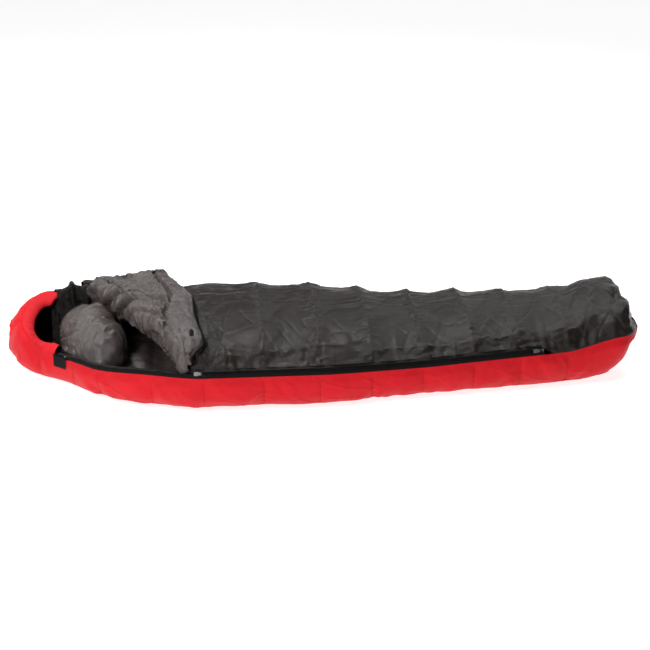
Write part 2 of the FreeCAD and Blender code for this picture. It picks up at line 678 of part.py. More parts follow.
def slider(name, place, run):
    """A zip slider: plates joined by a web through the slit, a bridge, a pull link and a puller."""
    start, end = (zip_middle(x) for x in run)
    frame = frame_at(zip_middle(place), end - start, ZIP_OUT)
    half_long, half_wide = "Sizes.slider_long / 2", "Sizes.slider_wide / 2"
    body = new_body(f"{name}_slider_body", frame)
    sketch = sketch_at(body, "Sizes.plate_low")
    rectangle(sketch, f"-{half_long}", half_long, f"-{half_wide}", half_wide)
    pad(body, sketch, "Sizes.plate_thick")
    sketch = sketch_at(body, "Sizes.plate_low + Sizes.plate_thick / 2")
    rectangle(sketch, f"-{half_long}", f"-{half_long} + Sizes.post_long", "-Sizes.post_wide / 2",
              "Sizes.post_wide / 2")
    pad(body, sketch, "Sizes.slider_gap + Sizes.plate_thick")
    top = "Sizes.plate_low + Sizes.plate_thick + Sizes.slider_gap"
    sketch = sketch_at(body, top)
    rectangle(sketch, f"-{half_long}", half_long, f"-{half_wide}", half_wide)
    pad(body, sketch, "Sizes.plate_thick")
    for low, high in ((f"-{half_wide}", f"-{half_wide} + Sizes.flange_wide"),
                      (f"{half_wide} - Sizes.flange_wide", half_wide)):
        sketch = sketch_at(body, f"{top} - Sizes.flange_high")
        rectangle(sketch, f"-{half_long}", half_long, low, high)
        pad(body, sketch, "Sizes.flange_high + Sizes.plate_thick / 2")

    face = f"{top} + Sizes.plate_thick"
    body = new_body(f"{name}_slider_bridge", frame)
    sketch = sketch_at(body, face)
    rectangle(sketch, "-Sizes.bridge_long / 2", "Sizes.bridge_long / 2", "-Sizes.bridge_wide / 2",
              "Sizes.bridge_wide / 2")
    pad(body, sketch, "Sizes.bridge_high")
    sketch = sketch_at(body, f"{face} + Sizes.bridge_high - Sizes.wire")
    rectangle(sketch, "-Sizes.bridge_long / 2 + Sizes.wire", "Sizes.bridge_long / 2 - Sizes.wire",
              "-Sizes.bridge_wide", "Sizes.bridge_wide")
    pocket(body, sketch, "Sizes.bridge_high - Sizes.wire")

    lift = f"{face} + Sizes.link_lift"
    body = new_body(f"{name}_pull_link", frame)
    sketch = sketch_at(body, lift)
    rectangle(sketch, "-Sizes.wire / 2", "Sizes.link_long + Sizes.link_hole", "-Sizes.link_wide / 2",
              "Sizes.link_wide / 2")
    pad(body, sketch, "Sizes.wire")
    sketch = sketch_at(body, lift)
    rectangle(sketch, "Sizes.wire / 2", "Sizes.bridge_long / 2 + Sizes.wire", "-Sizes.link_window / 2",
              "Sizes.link_window / 2")
    pocket(body, sketch)
    sketch = sketch_at(body, lift)
    circle(sketch, "Sizes.link_long", "0", "Sizes.link_hole")
    pocket(body, sketch)

    turn = FreeCAD.Placement(V(size("link_long"), 0, 0), FreeCAD.Rotation(Z_UP, size("puller_turn")))
    body = new_body(f"{name}_puller", frame * turn)
    over = f"{lift} + Sizes.wire + 0.3"
    sketch = sketch_at(body, over)
    rectangle(sketch, "-Sizes.puller_wide / 2", "Sizes.puller_wide / 2", "-Sizes.puller_wide / 2",
              "Sizes.puller_long")
    pad(body, sketch, "Sizes.puller_thick")
    sketch = sketch_at(body, f"{over} - Sizes.wire")
    circle(sketch, "0", "0", "Sizes.puller_pin")
    pad(body, sketch, "Sizes.wire + Sizes.puller_thick / 2")
    sketch = sketch_at(body, over)
    circle(sketch, "0", "Sizes.puller_long - Sizes.puller_hole", "Sizes.puller_hole")
    pocket(body, sketch)


def cord_lock(name, foot):
    """A spring cord lock: a barrel with a cross hole, a button that slides in its bore, and a spring."""
    frame = FreeCAD.Placement(foot, FreeCAD.Rotation())
    body = new_body(f"{name}_lock_barrel", frame)
    sketch = sketch_at(body, "0")
    circle(sketch, "0", "0", "Sizes.lock_wide")
    pad(body, sketch, "Sizes.lock_high")
    sketch = sketch_at(body, "Sizes.lock_high")
    circle(sketch, "0", "0", "Sizes.lock_bore")
    pocket(body, sketch, "Sizes.lock_high - Sizes.lock_floor")
    sketch = sketch_at(body, "0", "XZ_Plane")
    circle(sketch, "0", "Sizes.lock_high * 0.72", "Sizes.cord_hole")
    pocket(body, sketch)

    rest = "Sizes.lock_floor + Sizes.spring_high + 0.3"
    body = new_body(f"{name}_lock_button", frame)
    sketch = sketch_at(body, rest)
    circle(sketch, "0", "0", "Sizes.button_wide")
    pad(body, sketch, "Sizes.button_long")
    sketch = sketch_at(body, "0", "XZ_Plane")
    circle(sketch, "0", "Sizes.lock_high * 0.72 + 3", "Sizes.cord_hole")
    pocket(body, sketch)

    wire, high, turns = size("spring_wire"), size("spring_high"), 3.5
    across = (size("spring_wide") - wire) / 2
    wires = []
    for k in range(57):
        turn = 2 * math.pi * turns * k / 56
        out = V(math.cos(turn), math.sin(turn), 0)
        centre = out * across + Z_UP * ((high - wire) * k / 56)
        points = [centre + (out * math.cos(t) + Z_UP * math.sin(t)) * (wire / 2)
                  for t in [math.pi * i / 4 for i in range(8)]]
        wires.append(Part.makePolygon(points + points[:1]))
    lift = V(0, 0, size("lock_floor") + wire / 2 + 0.1)
    show(f"{name}_lock_spring", loft(wires), FreeCAD.Placement(foot + lift, FreeCAD.Rotation()))


# ---------------------------------------------------------------------------------------------
# Zip tab, hood rim and lower draft collar
# ---------------------------------------------------------------------------------------------


def patch_on_side(low, high, out_from, out_to):
    """A plate that follows the near side of the bag between two heights, at a distance out from it."""
    wires = []
    for k in range(5):
        place = size("tab_head") + (size("tab_foot") - size("tab_head")) * k / 4
        points = ring(place, place)
        row = stretch(points, crossing(points, low, NEAR_FLOOR, CROWN), crossing(points, high, NEAR_FLOOR, CROWN), 5)
        wires.append(band_wire([curve_through(sunk(row, -out_to))], [curve_through(sunk(row, -out_from))]))
    return loft(wires)


def zip_tab():
    """The closing tab at the zip's head end, with its two patches."""
    low, high, patch, thick = size("tab_low"), size("tab_high"), size("patch_thick"), size("tab_thick")
    face = size("tab_clear")
    show("tab_loop_patch", patch_on_side(low + 4, high - 8, face, face + patch))
    face += patch + 0.4
    show("tab_hook_patch", patch_on_side(low + 4, high - 8, face, face + patch))
    face += patch
    show("zip_tab_strap", patch_on_side(low, high, face, face + thick))


def hood_rim():
    """The stuffed tube sewn round the hood's opening."""
    path = rim_path()
    wires = []
    for i, centre in enumerate(path):
        along = path[min(i + 1, len(path) - 1)] - path[max(i - 1, 0)]
        out = along.cross(Z_UP).normalize() * (size("channel_wide") / 2)
        up = out.cross(along).normalize() * (size("channel_wide") / 2)
        turns = [math.pi * k / 6 for k in range(12)]
        points = [centre + out * math.cos(t) + up * math.sin(t) for t in turns]
        wires.append(Part.makePolygon(points + points[:1]))
    show("hood_rim_channel", loft(wires))


def lower_collar():
    """The stuffed roll across the neck, lying on the bottom liner."""
    wires = []
    for name, *_ in COLLAR_ROWS:
        across, middle, reach, low, top = (size(f"{name}_{q}") for q in COLLAR_QUANTITIES)
        turns = [math.pi * k / 8 for k in range(17)]
        oval = [V(middle + reach * math.cos(t), across, (low + top) / 2 + (top - low) / 2 * math.sin(t))
                for t in turns]
        wires.append(Part.Wire([curve_through(oval[:9]), curve_through(oval[8:])]))
    show("lower_draft_collar", Part.makeLoft(wires, True, False))


# ---------------------------------------------------------------------------------------------
# Folded-back flap
# ---------------------------------------------------------------------------------------------

FLAP_YS = [size(q) for q in ("flap_low_y", "flap_first_y", "flap_second_y", "flap_far_y")]


def flap_row(share, start_y, end_y, lift, beyond=0, count=25):
    """Points over the top panel between two Ys. share runs from the fold to the free edge, and lift from the
    flap's underside to its top. beyond moves the row further from the fold by a plain distance."""
    near_x = size("fold_near") + size("flap_near_reach") * share + beyond
    far_x = size("fold_far") + size("flap_far_reach") * share + beyond
    points = ring(near_x, far_x)
    start = crossing(points, start_y, NEAR_MIDDLE, FAR_MIDDLE, "y")
    end = crossing(points, end_y, NEAR_MIDDLE, FAR_MIDDLE, "y")
    low_y, span = size("flap_low_y"), 140
    found = []
    for point, inward in stretch(points, start, end, count):
        fullness = math.sin(math.pi / 2 * min(max((point.y - low_y) / span, 0), 1))
        thick = size("flap_thin") + (size("flap_thick") - size("flap_thin")) * fullness
        found.append(point - inward * (size("flap_gap") + size("puff") + thick * lift))
    return found


def flap_slab(rows, start_y, end_y):
    """A slab of the flap through rows of: share of its reach, low and high share of its thickness, and any
    plain distance beyond that."""
    wires = []
    for share, low, high, *beyond in rows:
        top = curve_through(flap_row(share, start_y, end_y, high, *beyond))
        under = curve_through(flap_row(share, start_y, end_y, low, *beyond))
        wires.append(band_wire([top], [under]))
    return loft(wires)


def flap():
    """The part of the top panel that is folded back: its shell is underneath and its liner on top."""
    ends, band = (FLAP_YS[0], FLAP_YS[-1]), size("band_from")
    skin = CLOTH / size("flap_thick")
    show("flap_outer_shell", flap_slab([(0, 0, skin), (band, 0, skin), (1, 0, skin)], *ends))
    rows = [(0, 0.86), (band / 2, 1.0), (band, 0.84)]
    inner = [(share, skin + 0.05, top - 0.03) for share, top in rows]
    show("flap_fill_chambers", group([flap_slab(inner, a, b) for a, b in zip(FLAP_YS, FLAP_YS[1:])]))
    show("flap_liner", flap_slab([(share, top, top + skin) for share, top in rows], *ends))
    show("flap_fold_facing", flap_slab([(0, 0.02, 0.86 + skin, -CLOTH), (0, 0.02, 0.86 + skin)], *ends))
    tube = [(band, 0.62), (band + 0.08, 0.92), ((band + 1) / 2, 1.06), (0.94, 0.9), (1.0, 0.5)]
    show("flap_draft_tube", flap_slab([(share, skin, top) for share, top in tube], *ends))
    gather = [(band - 0.03, 1.05), (band, 1.12), (band + 0.03, 1.05)]
    show("flap_gathered_channel", flap_slab([(share, 1.0, top) for share, top in gather], *ends))
    tape = size("tape_thick") / size("flap_thick")
    show("flap_zip_tape", flap_slab([(1, 0, tape), (1, 0, tape, size("edge_tape"))], *ends))
    coil = [(1, tape, tape + 0.07, size("edge_tape") - wide) for wide in (size("coil_wide"), 0)]
    show("flap_zip_coil", flap_slab(coil, *ends))


bottom_panel()
top_panel()
hood()
foot_box()
zip_chain()
slider("head", size("head_slider_at"), HEAD_RUN)
slider("foot", size("foot_slider_at"), FOOT_RUN)
zip_tab()
hood_rim()
lower_collar()
flap()
doc.recompute()
corner = flap_row(size("band_from") + 0.05, -300, -280, 1.0)[0]
cord_lock("collar", corner + V(0, 0, 8))
hood_lock = V(size("hood_lock_x"), size("hood_lock_y"), size("hood_lock_z"))
cord_lock("hood", hood_lock)
anchor = size("hood_anchor")
show("hood_lock_anchor", Part.makeBox(8, anchor, size("anchor_thick"),
                                      hood_lock + V(-4, -size("lock_wide") / 2 - anchor - 0.05, 9.5)))

# ---------------------------------------------------------------------------------------------
# Checks and export
# ---------------------------------------------------------------------------------------------

doc.recompute()
os.makedirs("parts", exist_ok=True)
for old in os.listdir("parts"):
    os.remove(os.path.join("parts", old))
for part in doc.Objects:
    if {"Invalid", "Error"} & set(part.State):
        raise RuntimeError(f"{part.Label} failed: {part.State}")
    if part.TypeId in ("Part::Feature", "PartDesign::Body"):
        shape = part.Shape
        if shape.isNull() or not shape.isValid() or not shape.Solids:
            raise RuntimeError(f"{part.Label} has no valid solid")
        print(f"{part.Label}: {len(shape.Solids)} solids, {len(shape.Faces)} faces, {shape.Volume / 1e6:.3f} litres")
        shape.exportStep(f"parts/{part.Label}.step")
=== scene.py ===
"""Looks of the mummy sleeping bag: cloth skins, padding, zip, trims, materials, light and camera.

The bag lies along X with its hood at low X, its zip on the near side at low Y, and the ground at Z 0.
Every skin is a grid of points on the bag's outline, so neighbouring pieces share their edges. Metres.
"""

import math

import bpy
import numpy as np
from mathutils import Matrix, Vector


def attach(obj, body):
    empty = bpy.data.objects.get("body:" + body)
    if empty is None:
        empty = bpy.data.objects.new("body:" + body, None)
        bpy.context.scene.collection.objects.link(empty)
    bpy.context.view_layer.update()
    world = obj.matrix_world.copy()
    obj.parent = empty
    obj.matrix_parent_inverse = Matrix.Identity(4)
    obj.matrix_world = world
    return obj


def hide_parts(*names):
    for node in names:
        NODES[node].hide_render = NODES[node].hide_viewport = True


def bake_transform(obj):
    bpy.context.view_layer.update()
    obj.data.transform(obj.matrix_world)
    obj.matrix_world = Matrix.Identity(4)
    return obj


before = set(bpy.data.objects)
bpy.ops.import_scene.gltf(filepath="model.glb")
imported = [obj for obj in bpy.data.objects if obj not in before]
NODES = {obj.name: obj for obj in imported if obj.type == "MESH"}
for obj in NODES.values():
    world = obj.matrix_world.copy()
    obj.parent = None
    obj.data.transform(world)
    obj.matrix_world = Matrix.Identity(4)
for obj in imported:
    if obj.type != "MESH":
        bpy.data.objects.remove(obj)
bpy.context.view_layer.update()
SCENE = bpy.context.scene

# ---------------------------------------------------------------------------------------------
# The bag's outline
# ---------------------------------------------------------------------------------------------

# place, centre, half width, floor, crown, zip edge, far seam
STATIONS = np.array([
    (-1060, 116, 76, 78, 160, 150, 150),
    (-1018, 112, 140, 38, 196, 150, 150),
    (-940, 100, 184, 0, 252, 119, 228),
    (-835, 62, 234, 0, 248, 126, 150),
    (-748, 33, 286, 0, 244, 130, 150),
    (-576, 6, 344, 0, 246, 142, 148),
    (-405, 0, 378, 0, 260, 142, 146),
    (-212, 0, 374, 0, 252, 141, 144),
    (-29, 0, 370, 0, 243, 140, 142),
    (144, 0, 340, 0, 236, 134, 136),
    (314, 0, 312, 0, 228, 131, 132),
    (484, 0, 291, 0, 233, 136, 136),
    (643, 0, 272, 0, 237, 141, 141),
    (803, 0, 252, 0, 246, 147, 147),
    (930, 0, 238, 12, 286, 176, 166),
    (990, 0, 227, 62, 296, 186, 176),
    (1035, 0, 196, 124, 280, 184, 182),
    (1060, 0, 128, 130, 226, 182, 182),
]) / 1000
CENTRE, HALF, FLOOR, CROWN, ZIPLINE, SEAM = range(1, 7)
SEAMS = np.array([-0.835, -0.748, -0.576, -0.405, -0.212, -0.029, 0.144, 0.314, 0.484, 0.643, 0.803])
RIM = np.array([
    (-1070, 190, 250), (-998, 168, 226), (-940, 119, 232), (-900, 129, 234), (-805, 128, 232),
]) / 1000
TIP, NAPE, ANKLE, SOLE = -1.06, -0.835, 0.803, 1.06
FOLD_NEAR, FOLD_FAR = -0.438, -0.826
MID_NEAR, MID_FAR = -0.33, -0.52
ZIP_GAP = 0.028
TOP_ROWS, TOP_COLUMNS = 401, 233
BAND = 0.021
BOTTOM_FILL, TOP_FILL, HOOD_FILL = 0.041, 0.035, 0.031
STEPS = np.arange(193)
TURNS = (STEPS / 48 - 1) * np.pi / 2


def through(xs, ys, place):
    """A smooth curve through points, without overshoot."""
    place = np.clip(place, xs[0], xs[-1])
    gaps, rises = np.diff(xs), np.diff(ys)
    slopes = rises / gaps
    tangents = np.zeros(len(xs))
    tangents[0], tangents[-1] = slopes[0], slopes[-1]
    same = slopes[:-1] * slopes[1:] > 0
    total = np.where(same, slopes[:-1] + slopes[1:], 1)
    tangents[1:-1] = np.where(same, 2 * slopes[:-1] * slopes[1:] / total, 0)
    i = np.clip(np.searchsorted(xs, place, side="right") - 1, 0, len(xs) - 2)
    t, gap = (place - xs[i]) / gaps[i], gaps[i]
    return (ys[i] * (1 + 2 * t) * (1 - t) ** 2 + gap * tangents[i] * t * (1 - t) ** 2
            + ys[i + 1] * t * t * (3 - 2 * t) + gap * tangents[i + 1] * t * t * (t - 1))


def at(place, column):
    return through(STATIONS[:, 0], STATIONS[:, column], place)


def outlines(near_x, far_x, depth=0.0):
    """One outline for each line across the bag, from the near edge of the floor over the crown to the far one."""
    near_x, far_x = np.atleast_1d(near_x)[:, None], np.atleast_1d(far_x)[:, None]
    share = (1 - np.cos(np.clip(TURNS, 0, np.pi))) / 2

    def mixed(column):
        return at(near_x, column) * (1 - share) + at(far_x, column) * share

    half, floor, crown = mixed(HALF) - depth, mixed(FLOOR) + depth, mixed(CROWN) - depth
    belly = floor + (crown - floor) * 0.46
    cosine, sine = np.abs(np.cos(TURNS)), np.abs(np.sin(TURNS))
    upper = np.sin(TURNS) > 0
    corner = np.minimum(0.15, half * 0.7)
    out = np.where(upper, half * cosine ** 0.74, half - corner + corner * cosine ** 0.86)
    z = np.where(upper, belly + (crown - belly) * sine ** 0.74, belly - (belly - floor) * sine ** 0.86)
    y = mixed(CENTRE) - np.copysign(1, np.cos(TURNS)) * out
    near_y, far_y = at(near_x, CENTRE) - at(near_x, HALF), at(far_x, CENTRE) + at(far_x, HALF)
    return np.stack([near_x + (far_x - near_x) * (y - near_y) / (far_y - near_y), y, z], -1)


def rises_to(row, height):
    """The step on the near side of an outline at which it passes a height."""
    return float(np.interp(height, row[:97, 2], STEPS[:97]))


def falls_to(row, height):
    """The step on the far side of an outline at which it passes a height."""
    return float(np.interp(height, row[:95:-1, 2], STEPS[:95:-1]))


def reaches(row, y):
    """The step over the crown at which an outline passes a Y."""
    return float(np.interp(y, row[48:145, 1], STEPS[48:145]))


def along(row, start, end, count):
    """Evenly spaced points of an outline between two steps."""
    steps = np.linspace(start, end, 240)
    path = np.stack([np.interp(steps, np.arange(len(row)), row[:, k]) for k in range(3)], -1)
    return spaced(path, count)


def spaced(path, count):
    """Evenly spaced points along a path."""
    travelled = lengths(path)
    wanted = np.linspace(0, travelled[-1], count)
    return np.stack([np.interp(wanted, travelled, path[:, k]) for k in range(3)], -1)


def lengths(path):
    """Distance travelled along a path to each of its points."""
    return np.concatenate([[0], np.cumsum(np.linalg.norm(np.diff(path, axis=0), axis=1))])


def rim_height(points):
    """Height of the hood's rim over each point."""
    place = points[..., 0]
    near_y, far_y = at(place, CENTRE) - at(place, HALF), at(place, CENTRE) + at(place, HALF)
    near_z, far_z = through(RIM[:, 0], RIM[:, 1], place), through(RIM[:, 0], RIM[:, 2], place)
    return near_z + (far_z - near_z) * (points[..., 1] - near_y) / (far_y - near_y)


def rim_steps(row):
    """The steps at which the hood's rim cuts an outline. Both are the crown where it doesn't."""
    over = row[:, 2] - rim_height(row)
    if over.max() <= 0:
        top = float(np.argmax(over))
        return top, top
    first, last = np.flatnonzero(over > 0)[[0, -1]]
    start = first - over[first] / (over[first] - over[first - 1])
    end = last + over[last] / (over[last] - over[last + 1])
    return float(start), float(end)


def zip_gap(place):
    """Height of the zip's band that shows, which closes at the foot end of the chain."""
    return BAND * (1 - smooth_step((place - 0.712) / 0.05))


def smooth_step(t):
    t = np.clip(t, 0, 1)
    return t * t * (3 - 2 * t)


# ---------------------------------------------------------------------------------------------
# Noise, folds and cloth
# ---------------------------------------------------------------------------------------------

NOISE = np.random.default_rng(7).uniform(-1, 1, (256, 256))


def noise(u, v, seed=0):
    """Smooth noise from -1 to 1, with one bump to each unit."""
    u, v = u + seed * 17.31, v + seed * 9.73
    i, j = np.floor(u).astype(int), np.floor(v).astype(int)
    a, b = u - i, v - j
    a, b = a ** 3 * (a * (a * 6 - 15) + 10), b ** 3 * (b * (b * 6 - 15) + 10)

    def value(di, dj):
        return NOISE[(i + di) % 256, (j + dj) % 256]

    return (value(0, 0) * (1 - a) + value(1, 0) * a) * (1 - b) + (value(0, 1) * (1 - a) + value(1, 1) * a) * b


def folds(u, v, angle, long, wide, seed):
    """Noise drawn out along a direction, which gives long soft folds. Angle in degrees from u."""
    c, s = math.cos(math.radians(angle)), math.sin(math.radians(angle))
    p, q = (u * c + v * s) / long, (v * c - u * s) / wide
    return noise(p, q + 0.7 * noise(p * 0.8, q * 0.3, seed + 5), seed)


def creases(u, v, angle, long, wide, seed):
    """Narrow raised creases along a direction, from 0 to 1."""
    return np.clip(1 - 3.2 * np.abs(folds(u, v, angle, long, wide, seed)), 0, 1) ** 1.5


def from_lines(place, lines):
    """Distance from each place to its nearest line."""
    return np.min(np.abs(np.asarray(place)[..., None] - lines), axis=-1)


def chambers(place, lines):
    """0 on a chamber line, 1 half way to the next."""
    i = np.clip(np.searchsorted(lines, place) - 1, 0, len(lines) - 2)
    return np.sin(np.pi * np.clip((place - lines[i]) / (lines[i + 1] - lines[i]), 0, 1))


def normals(grid):
    """Unit normals of a grid of points."""
    n = np.cross(np.gradient(grid, axis=1), np.gradient(grid, axis=0))
    return n / np.maximum(np.linalg.norm(n, axis=-1, keepdims=True), 1e-12)


def finer(field, shape):
    """A coarse field of vectors, read smoothly at a finer grid of points."""
    for axis, count in enumerate(shape):
        field = np.moveaxis(field, axis, 0)
        t = np.linspace(0, len(field) - 1, count)
        i = np.clip(t.astype(int), 0, len(field) - 2)
        f = (t - i).reshape(-1, *[1] * (field.ndim - 1))
        p = [field[np.clip(i + k, 0, len(field) - 1)] for k in (-1, 0, 1, 2)]
        field = (p[1] + 0.5 * f * (p[2] - p[0] + f * (2 * p[0] - 5 * p[1] + 4 * p[2] - p[3]
                                                      + f * (3 * (p[1] - p[2]) + p[3] - p[0]))))
        field = np.moveaxis(field, 0, axis)
    return field


def drape(name, grid, pinned, pressure, slack, cap, frames=18):
    """Runs cloth on a grid held at its pinned points, and gives how far each point moved."""
    obj = skin(name, grid, None)
    group = obj.vertex_groups.new(name="held")
    group.add([int(i) for i in np.flatnonzero(pinned.ravel())], 1.0, "REPLACE")
    cloth = obj.modifiers.new("Cloth", "CLOTH")
    settings = cloth.settings
    settings.quality, settings.mass = 6, 0.12
    settings.tension_stiffness = settings.compression_stiffness = 14
    settings.shear_stiffness, settings.bending_stiffness = 4, 0.05
    settings.vertex_group_mass = "held"
    settings.use_pressure, settings.uniform_pressure_force = True, pressure
    settings.shrink_min = -slack
    settings.effector_weights.gravity = 0
    cloth.point_cache.frame_start, cloth.point_cache.frame_end = 1, frames
    for number in range(1, frames + 1):
        SCENE.frame_set(number)
    shown = obj.evaluated_get(bpy.context.evaluated_depsgraph_get())
    moved = np.zeros(grid.size)
    shown.data.vertices.foreach_get("co", moved)
    moved = moved.reshape(grid.shape) - grid
    bpy.data.objects.remove(obj)
    SCENE.frame_set(1)
    far = np.linalg.norm(moved, axis=-1, keepdims=True)
    return moved * np.minimum(1, cap / np.maximum(far, 1e-9))


# ---------------------------------------------------------------------------------------------
# Meshes
# ---------------------------------------------------------------------------------------------


def made(name, vertices, faces, material):
    """A smooth mesh object."""
    mesh = bpy.data.meshes.new(name)
    mesh.from_pydata(np.asarray(vertices).reshape(-1, 3).tolist(), [], np.asarray(faces).tolist())
    mesh.polygons.foreach_set("use_smooth", [True] * len(mesh.polygons))
    mesh.update()
    obj = bpy.data.objects.new(name, mesh)
    SCENE.collection.objects.link(obj)
    if material is not None:
        mesh.materials.append(material)
    return obj


def grid_faces(rows, columns, around=False):
    """Quads of a grid of points. around joins each row's end to its start."""
    index = np.arange(rows * columns).reshape(rows, columns)
    if around:
        index = np.concatenate([index, index[:, :1]], axis=1)
    return np.stack([index[:-1, :-1], index[:-1, 1:], index[1:, 1:], index[1:, :-1]], -1).reshape(-1, 4)


def skin(name, grid, material):
    return made(name, grid, grid_faces(*grid.shape[:2]), material)


def tube(name, path, radius, material, sides=10):
    """A round tube along a path, closed at both ends."""
    path = np.asarray(path)
    radius = np.broadcast_to(radius, len(path))
    rings = ring_points(path, sides) * radius[:, None, None] + path[:, None]
    obj = made(name, rings, grid_faces(len(path), sides, around=True), material)
    close_ends(obj, sides, len(path))
    return obj


def ring_points(path, sides):
    """Unit circles square to a path."""
    tangent = np.gradient(path, axis=0)
    tangent /= np.maximum(np.linalg.norm(tangent, axis=1, keepdims=True), 1e-12)
    aside = np.cross(tangent, np.where(np.abs(tangent[:, 2:]) > 0.95, [[1.0, 0, 0]], [[0, 0, 1.0]]))
    aside /= np.linalg.norm(aside, axis=1, keepdims=True)
    above = np.cross(aside, tangent)
    turn = np.arange(sides) * 2 * np.pi / sides
    return np.cos(turn)[None, :, None] * aside[:, None] + np.sin(turn)[None, :, None] * above[:, None]


def close_ends(obj, sides, rings):
    """Adds an end face to each end of a tube."""
    mesh = obj.data
    vertices = [tuple(v.co) for v in mesh.vertices]
    faces = [tuple(p.vertices) for p in mesh.polygons]
    faces += [tuple(range(sides)), tuple(range(rings * sides - 1, (rings - 1) * sides - 1, -1))]
    materials = list(mesh.materials)
    mesh.clear_geometry()
    mesh.from_pydata(vertices, [], faces)
    mesh.polygons.foreach_set("use_smooth", [True] * len(mesh.polygons))
    for k, material in enumerate(materials):
        mesh.materials[k] = material
    mesh.update()


def stitches(name, paths, material, pitch=0.0042, long=0.003, radius=0.0004, lift=0.0003):
    """A row of thread stitches along each path. A path is its points and their outward directions."""
    vertices, faces = [], []
    turn = np.arange(4) * np.pi / 2 + np.pi / 4
    for path, out in paths:
        travelled = lengths(path)
        starts = np.arange(pitch / 2, travelled[-1] - long, pitch)
        for start in starts:
            ends = np.array([start, start + long * 0.2, start + long * 0.8, start + long])
            points = np.stack([np.interp(ends, travelled, path[:, k]) for k in range(3)], -1)
            up = np.array([np.interp(start, travelled, out[:, k]) for k in range(3)])
            run = points[-1] - points[0]
            run /= np.linalg.norm(run)
            aside = np.cross(run, up)
            sizes = np.array([0.35, 1, 1, 0.35]) * radius
            heights = np.array([-0.5, 1, 1, -0.5]) * radius + lift
            first = len(vertices) * 16
            rings = (points + up * heights[:, None])[:, None] + sizes[:, None, None] * (
                np.cos(turn)[None, :, None] * aside + np.sin(turn)[None, :, None] * up)
            vertices.append(rings.reshape(-1, 3))
            faces.append(grid_faces(4, 4, around=True) + first)
    return made(name, np.concatenate(vertices), np.concatenate(faces), material)


# ---------------------------------------------------------------------------------------------
# Materials
# ---------------------------------------------------------------------------------------------


class Nodes:
    """A material under construction."""

    def __init__(self, name):
        self.material = bpy.data.materials.new(name)
        self.material.use_nodes = True
        self.tree = self.material.node_tree
        self.shader = self.tree.nodes["Principled BSDF"]
        coordinates = self.tree.nodes.new("ShaderNodeTexCoord")
        self.place = coordinates.outputs["Object"]

    def add(self, kind, inputs=None, **settings):
        node = self.tree.nodes.new(kind)
        for key, value in settings.items():
            setattr(node, key, value)
        for key, value in (inputs or {}).items():
            if isinstance(value, bpy.types.NodeSocket):
                self.tree.links.new(value, node.inputs[key])
            else:
                node.inputs[key].default_value = value
        return node

    def math(self, operation, a, b=0.0):
        return self.add("ShaderNodeMath", {0: a, 1: b}, operation=operation).outputs[0]

    def noise(self, scale, detail=3.0, stretch=None):
        place = self.place
        if stretch:
            mapping = self.add("ShaderNodeMapping", {"Vector": place, "Scale": stretch})
            place = mapping.outputs["Vector"]
        return self.add("ShaderNodeTexNoise", {"Vector": place, "Scale": scale, "Detail": detail}).outputs["Fac"]

    def ramp(self, value, low, high, colour_low, colour_high):
        ramp = self.add("ShaderNodeValToRGB", {"Fac": value})
        ramp.color_ramp.elements[0].position, ramp.color_ramp.elements[1].position = low, high
        ramp.color_ramp.elements[0].color = (*colour_low, 1)
        ramp.color_ramp.elements[1].color = (*colour_high, 1)
        return ramp.outputs["Color"]

    def spread(self, value, low, high):
        """A value from 0 to 1 spread between two numbers."""
        return self.add("ShaderNodeMapRange", {"Value": value, "To Min": low, "To Max": high}).outputs["Result"]

    def threads(self, pitch):
        """Height of a plain weave of threads, from 0 to 1."""
        split = self.add("ShaderNodeSeparateXYZ", {"Vector": self.place})
        turn = 2 * math.pi / pitch
        across = self.math("SINE", self.math("MULTIPLY", split.outputs["X"], turn))
        height = self.math("ADD", split.outputs["Y"], split.outputs["Z"])
        up = self.math("SINE", self.math("MULTIPLY", height, turn))
        return self.math("MULTIPLY_ADD", self.math("MULTIPLY", across, up), 0.5)

    def set(self, **values):
        for key, value in values.items():
            socket = self.shader.inputs[key.replace("_", " ")]
            if isinstance(value, bpy.types.NodeSocket):
                self.tree.links.new(value, socket)
            else:
                socket.default_value = value

    def bump(self, height, strength, distance):
        return self.add("ShaderNodeBump", {"Height": height, "Strength": strength, "Distance": distance}
                        ).outputs["Normal"]


def cloth(name, dark, light, rough, sheen=0.0, pitch=0.0011, weave=0.12, crinkle=0.25, wrinkle=0.4,
          tint=(1, 1, 1), specular=0.5):
    """Woven cloth: colour that varies softly, threads, and creases finer than the mesh can hold."""
    n = Nodes(name)
    broad, fine = n.noise(7.0, 4.0), n.noise(90.0, 3.0)
    mixed = n.math("ADD", n.math("MULTIPLY", broad, 0.65), n.math("MULTIPLY", fine, 0.35))
    bent = n.add("ShaderNodeTexNoise", {"Vector": n.place, "Scale": 17.0, "Detail": 3.0, "Distortion": 1.6})
    valley = n.math("ABSOLUTE", n.math("SUBTRACT", bent.outputs["Fac"], 0.5))
    height = n.math("ADD", n.math("MULTIPLY", n.threads(pitch), weave),
                    n.math("MULTIPLY", n.noise(38.0, 5.0), crinkle))
    height = n.math("ADD", height, n.math("MULTIPLY", n.math("MINIMUM", valley, 0.12), 6 * wrinkle))
    n.set(Base_Color=n.ramp(mixed, 0.3, 0.7, dark, light), Roughness=n.spread(mixed, rough - 0.05, rough + 0.07),
          Normal=n.bump(height, 0.7, 0.0032), Specular_IOR_Level=specular)
    if sheen:
        n.set(Sheen_Weight=sheen, Sheen_Roughness=0.45, Sheen_Tint=(*tint, 1))
    return n.material


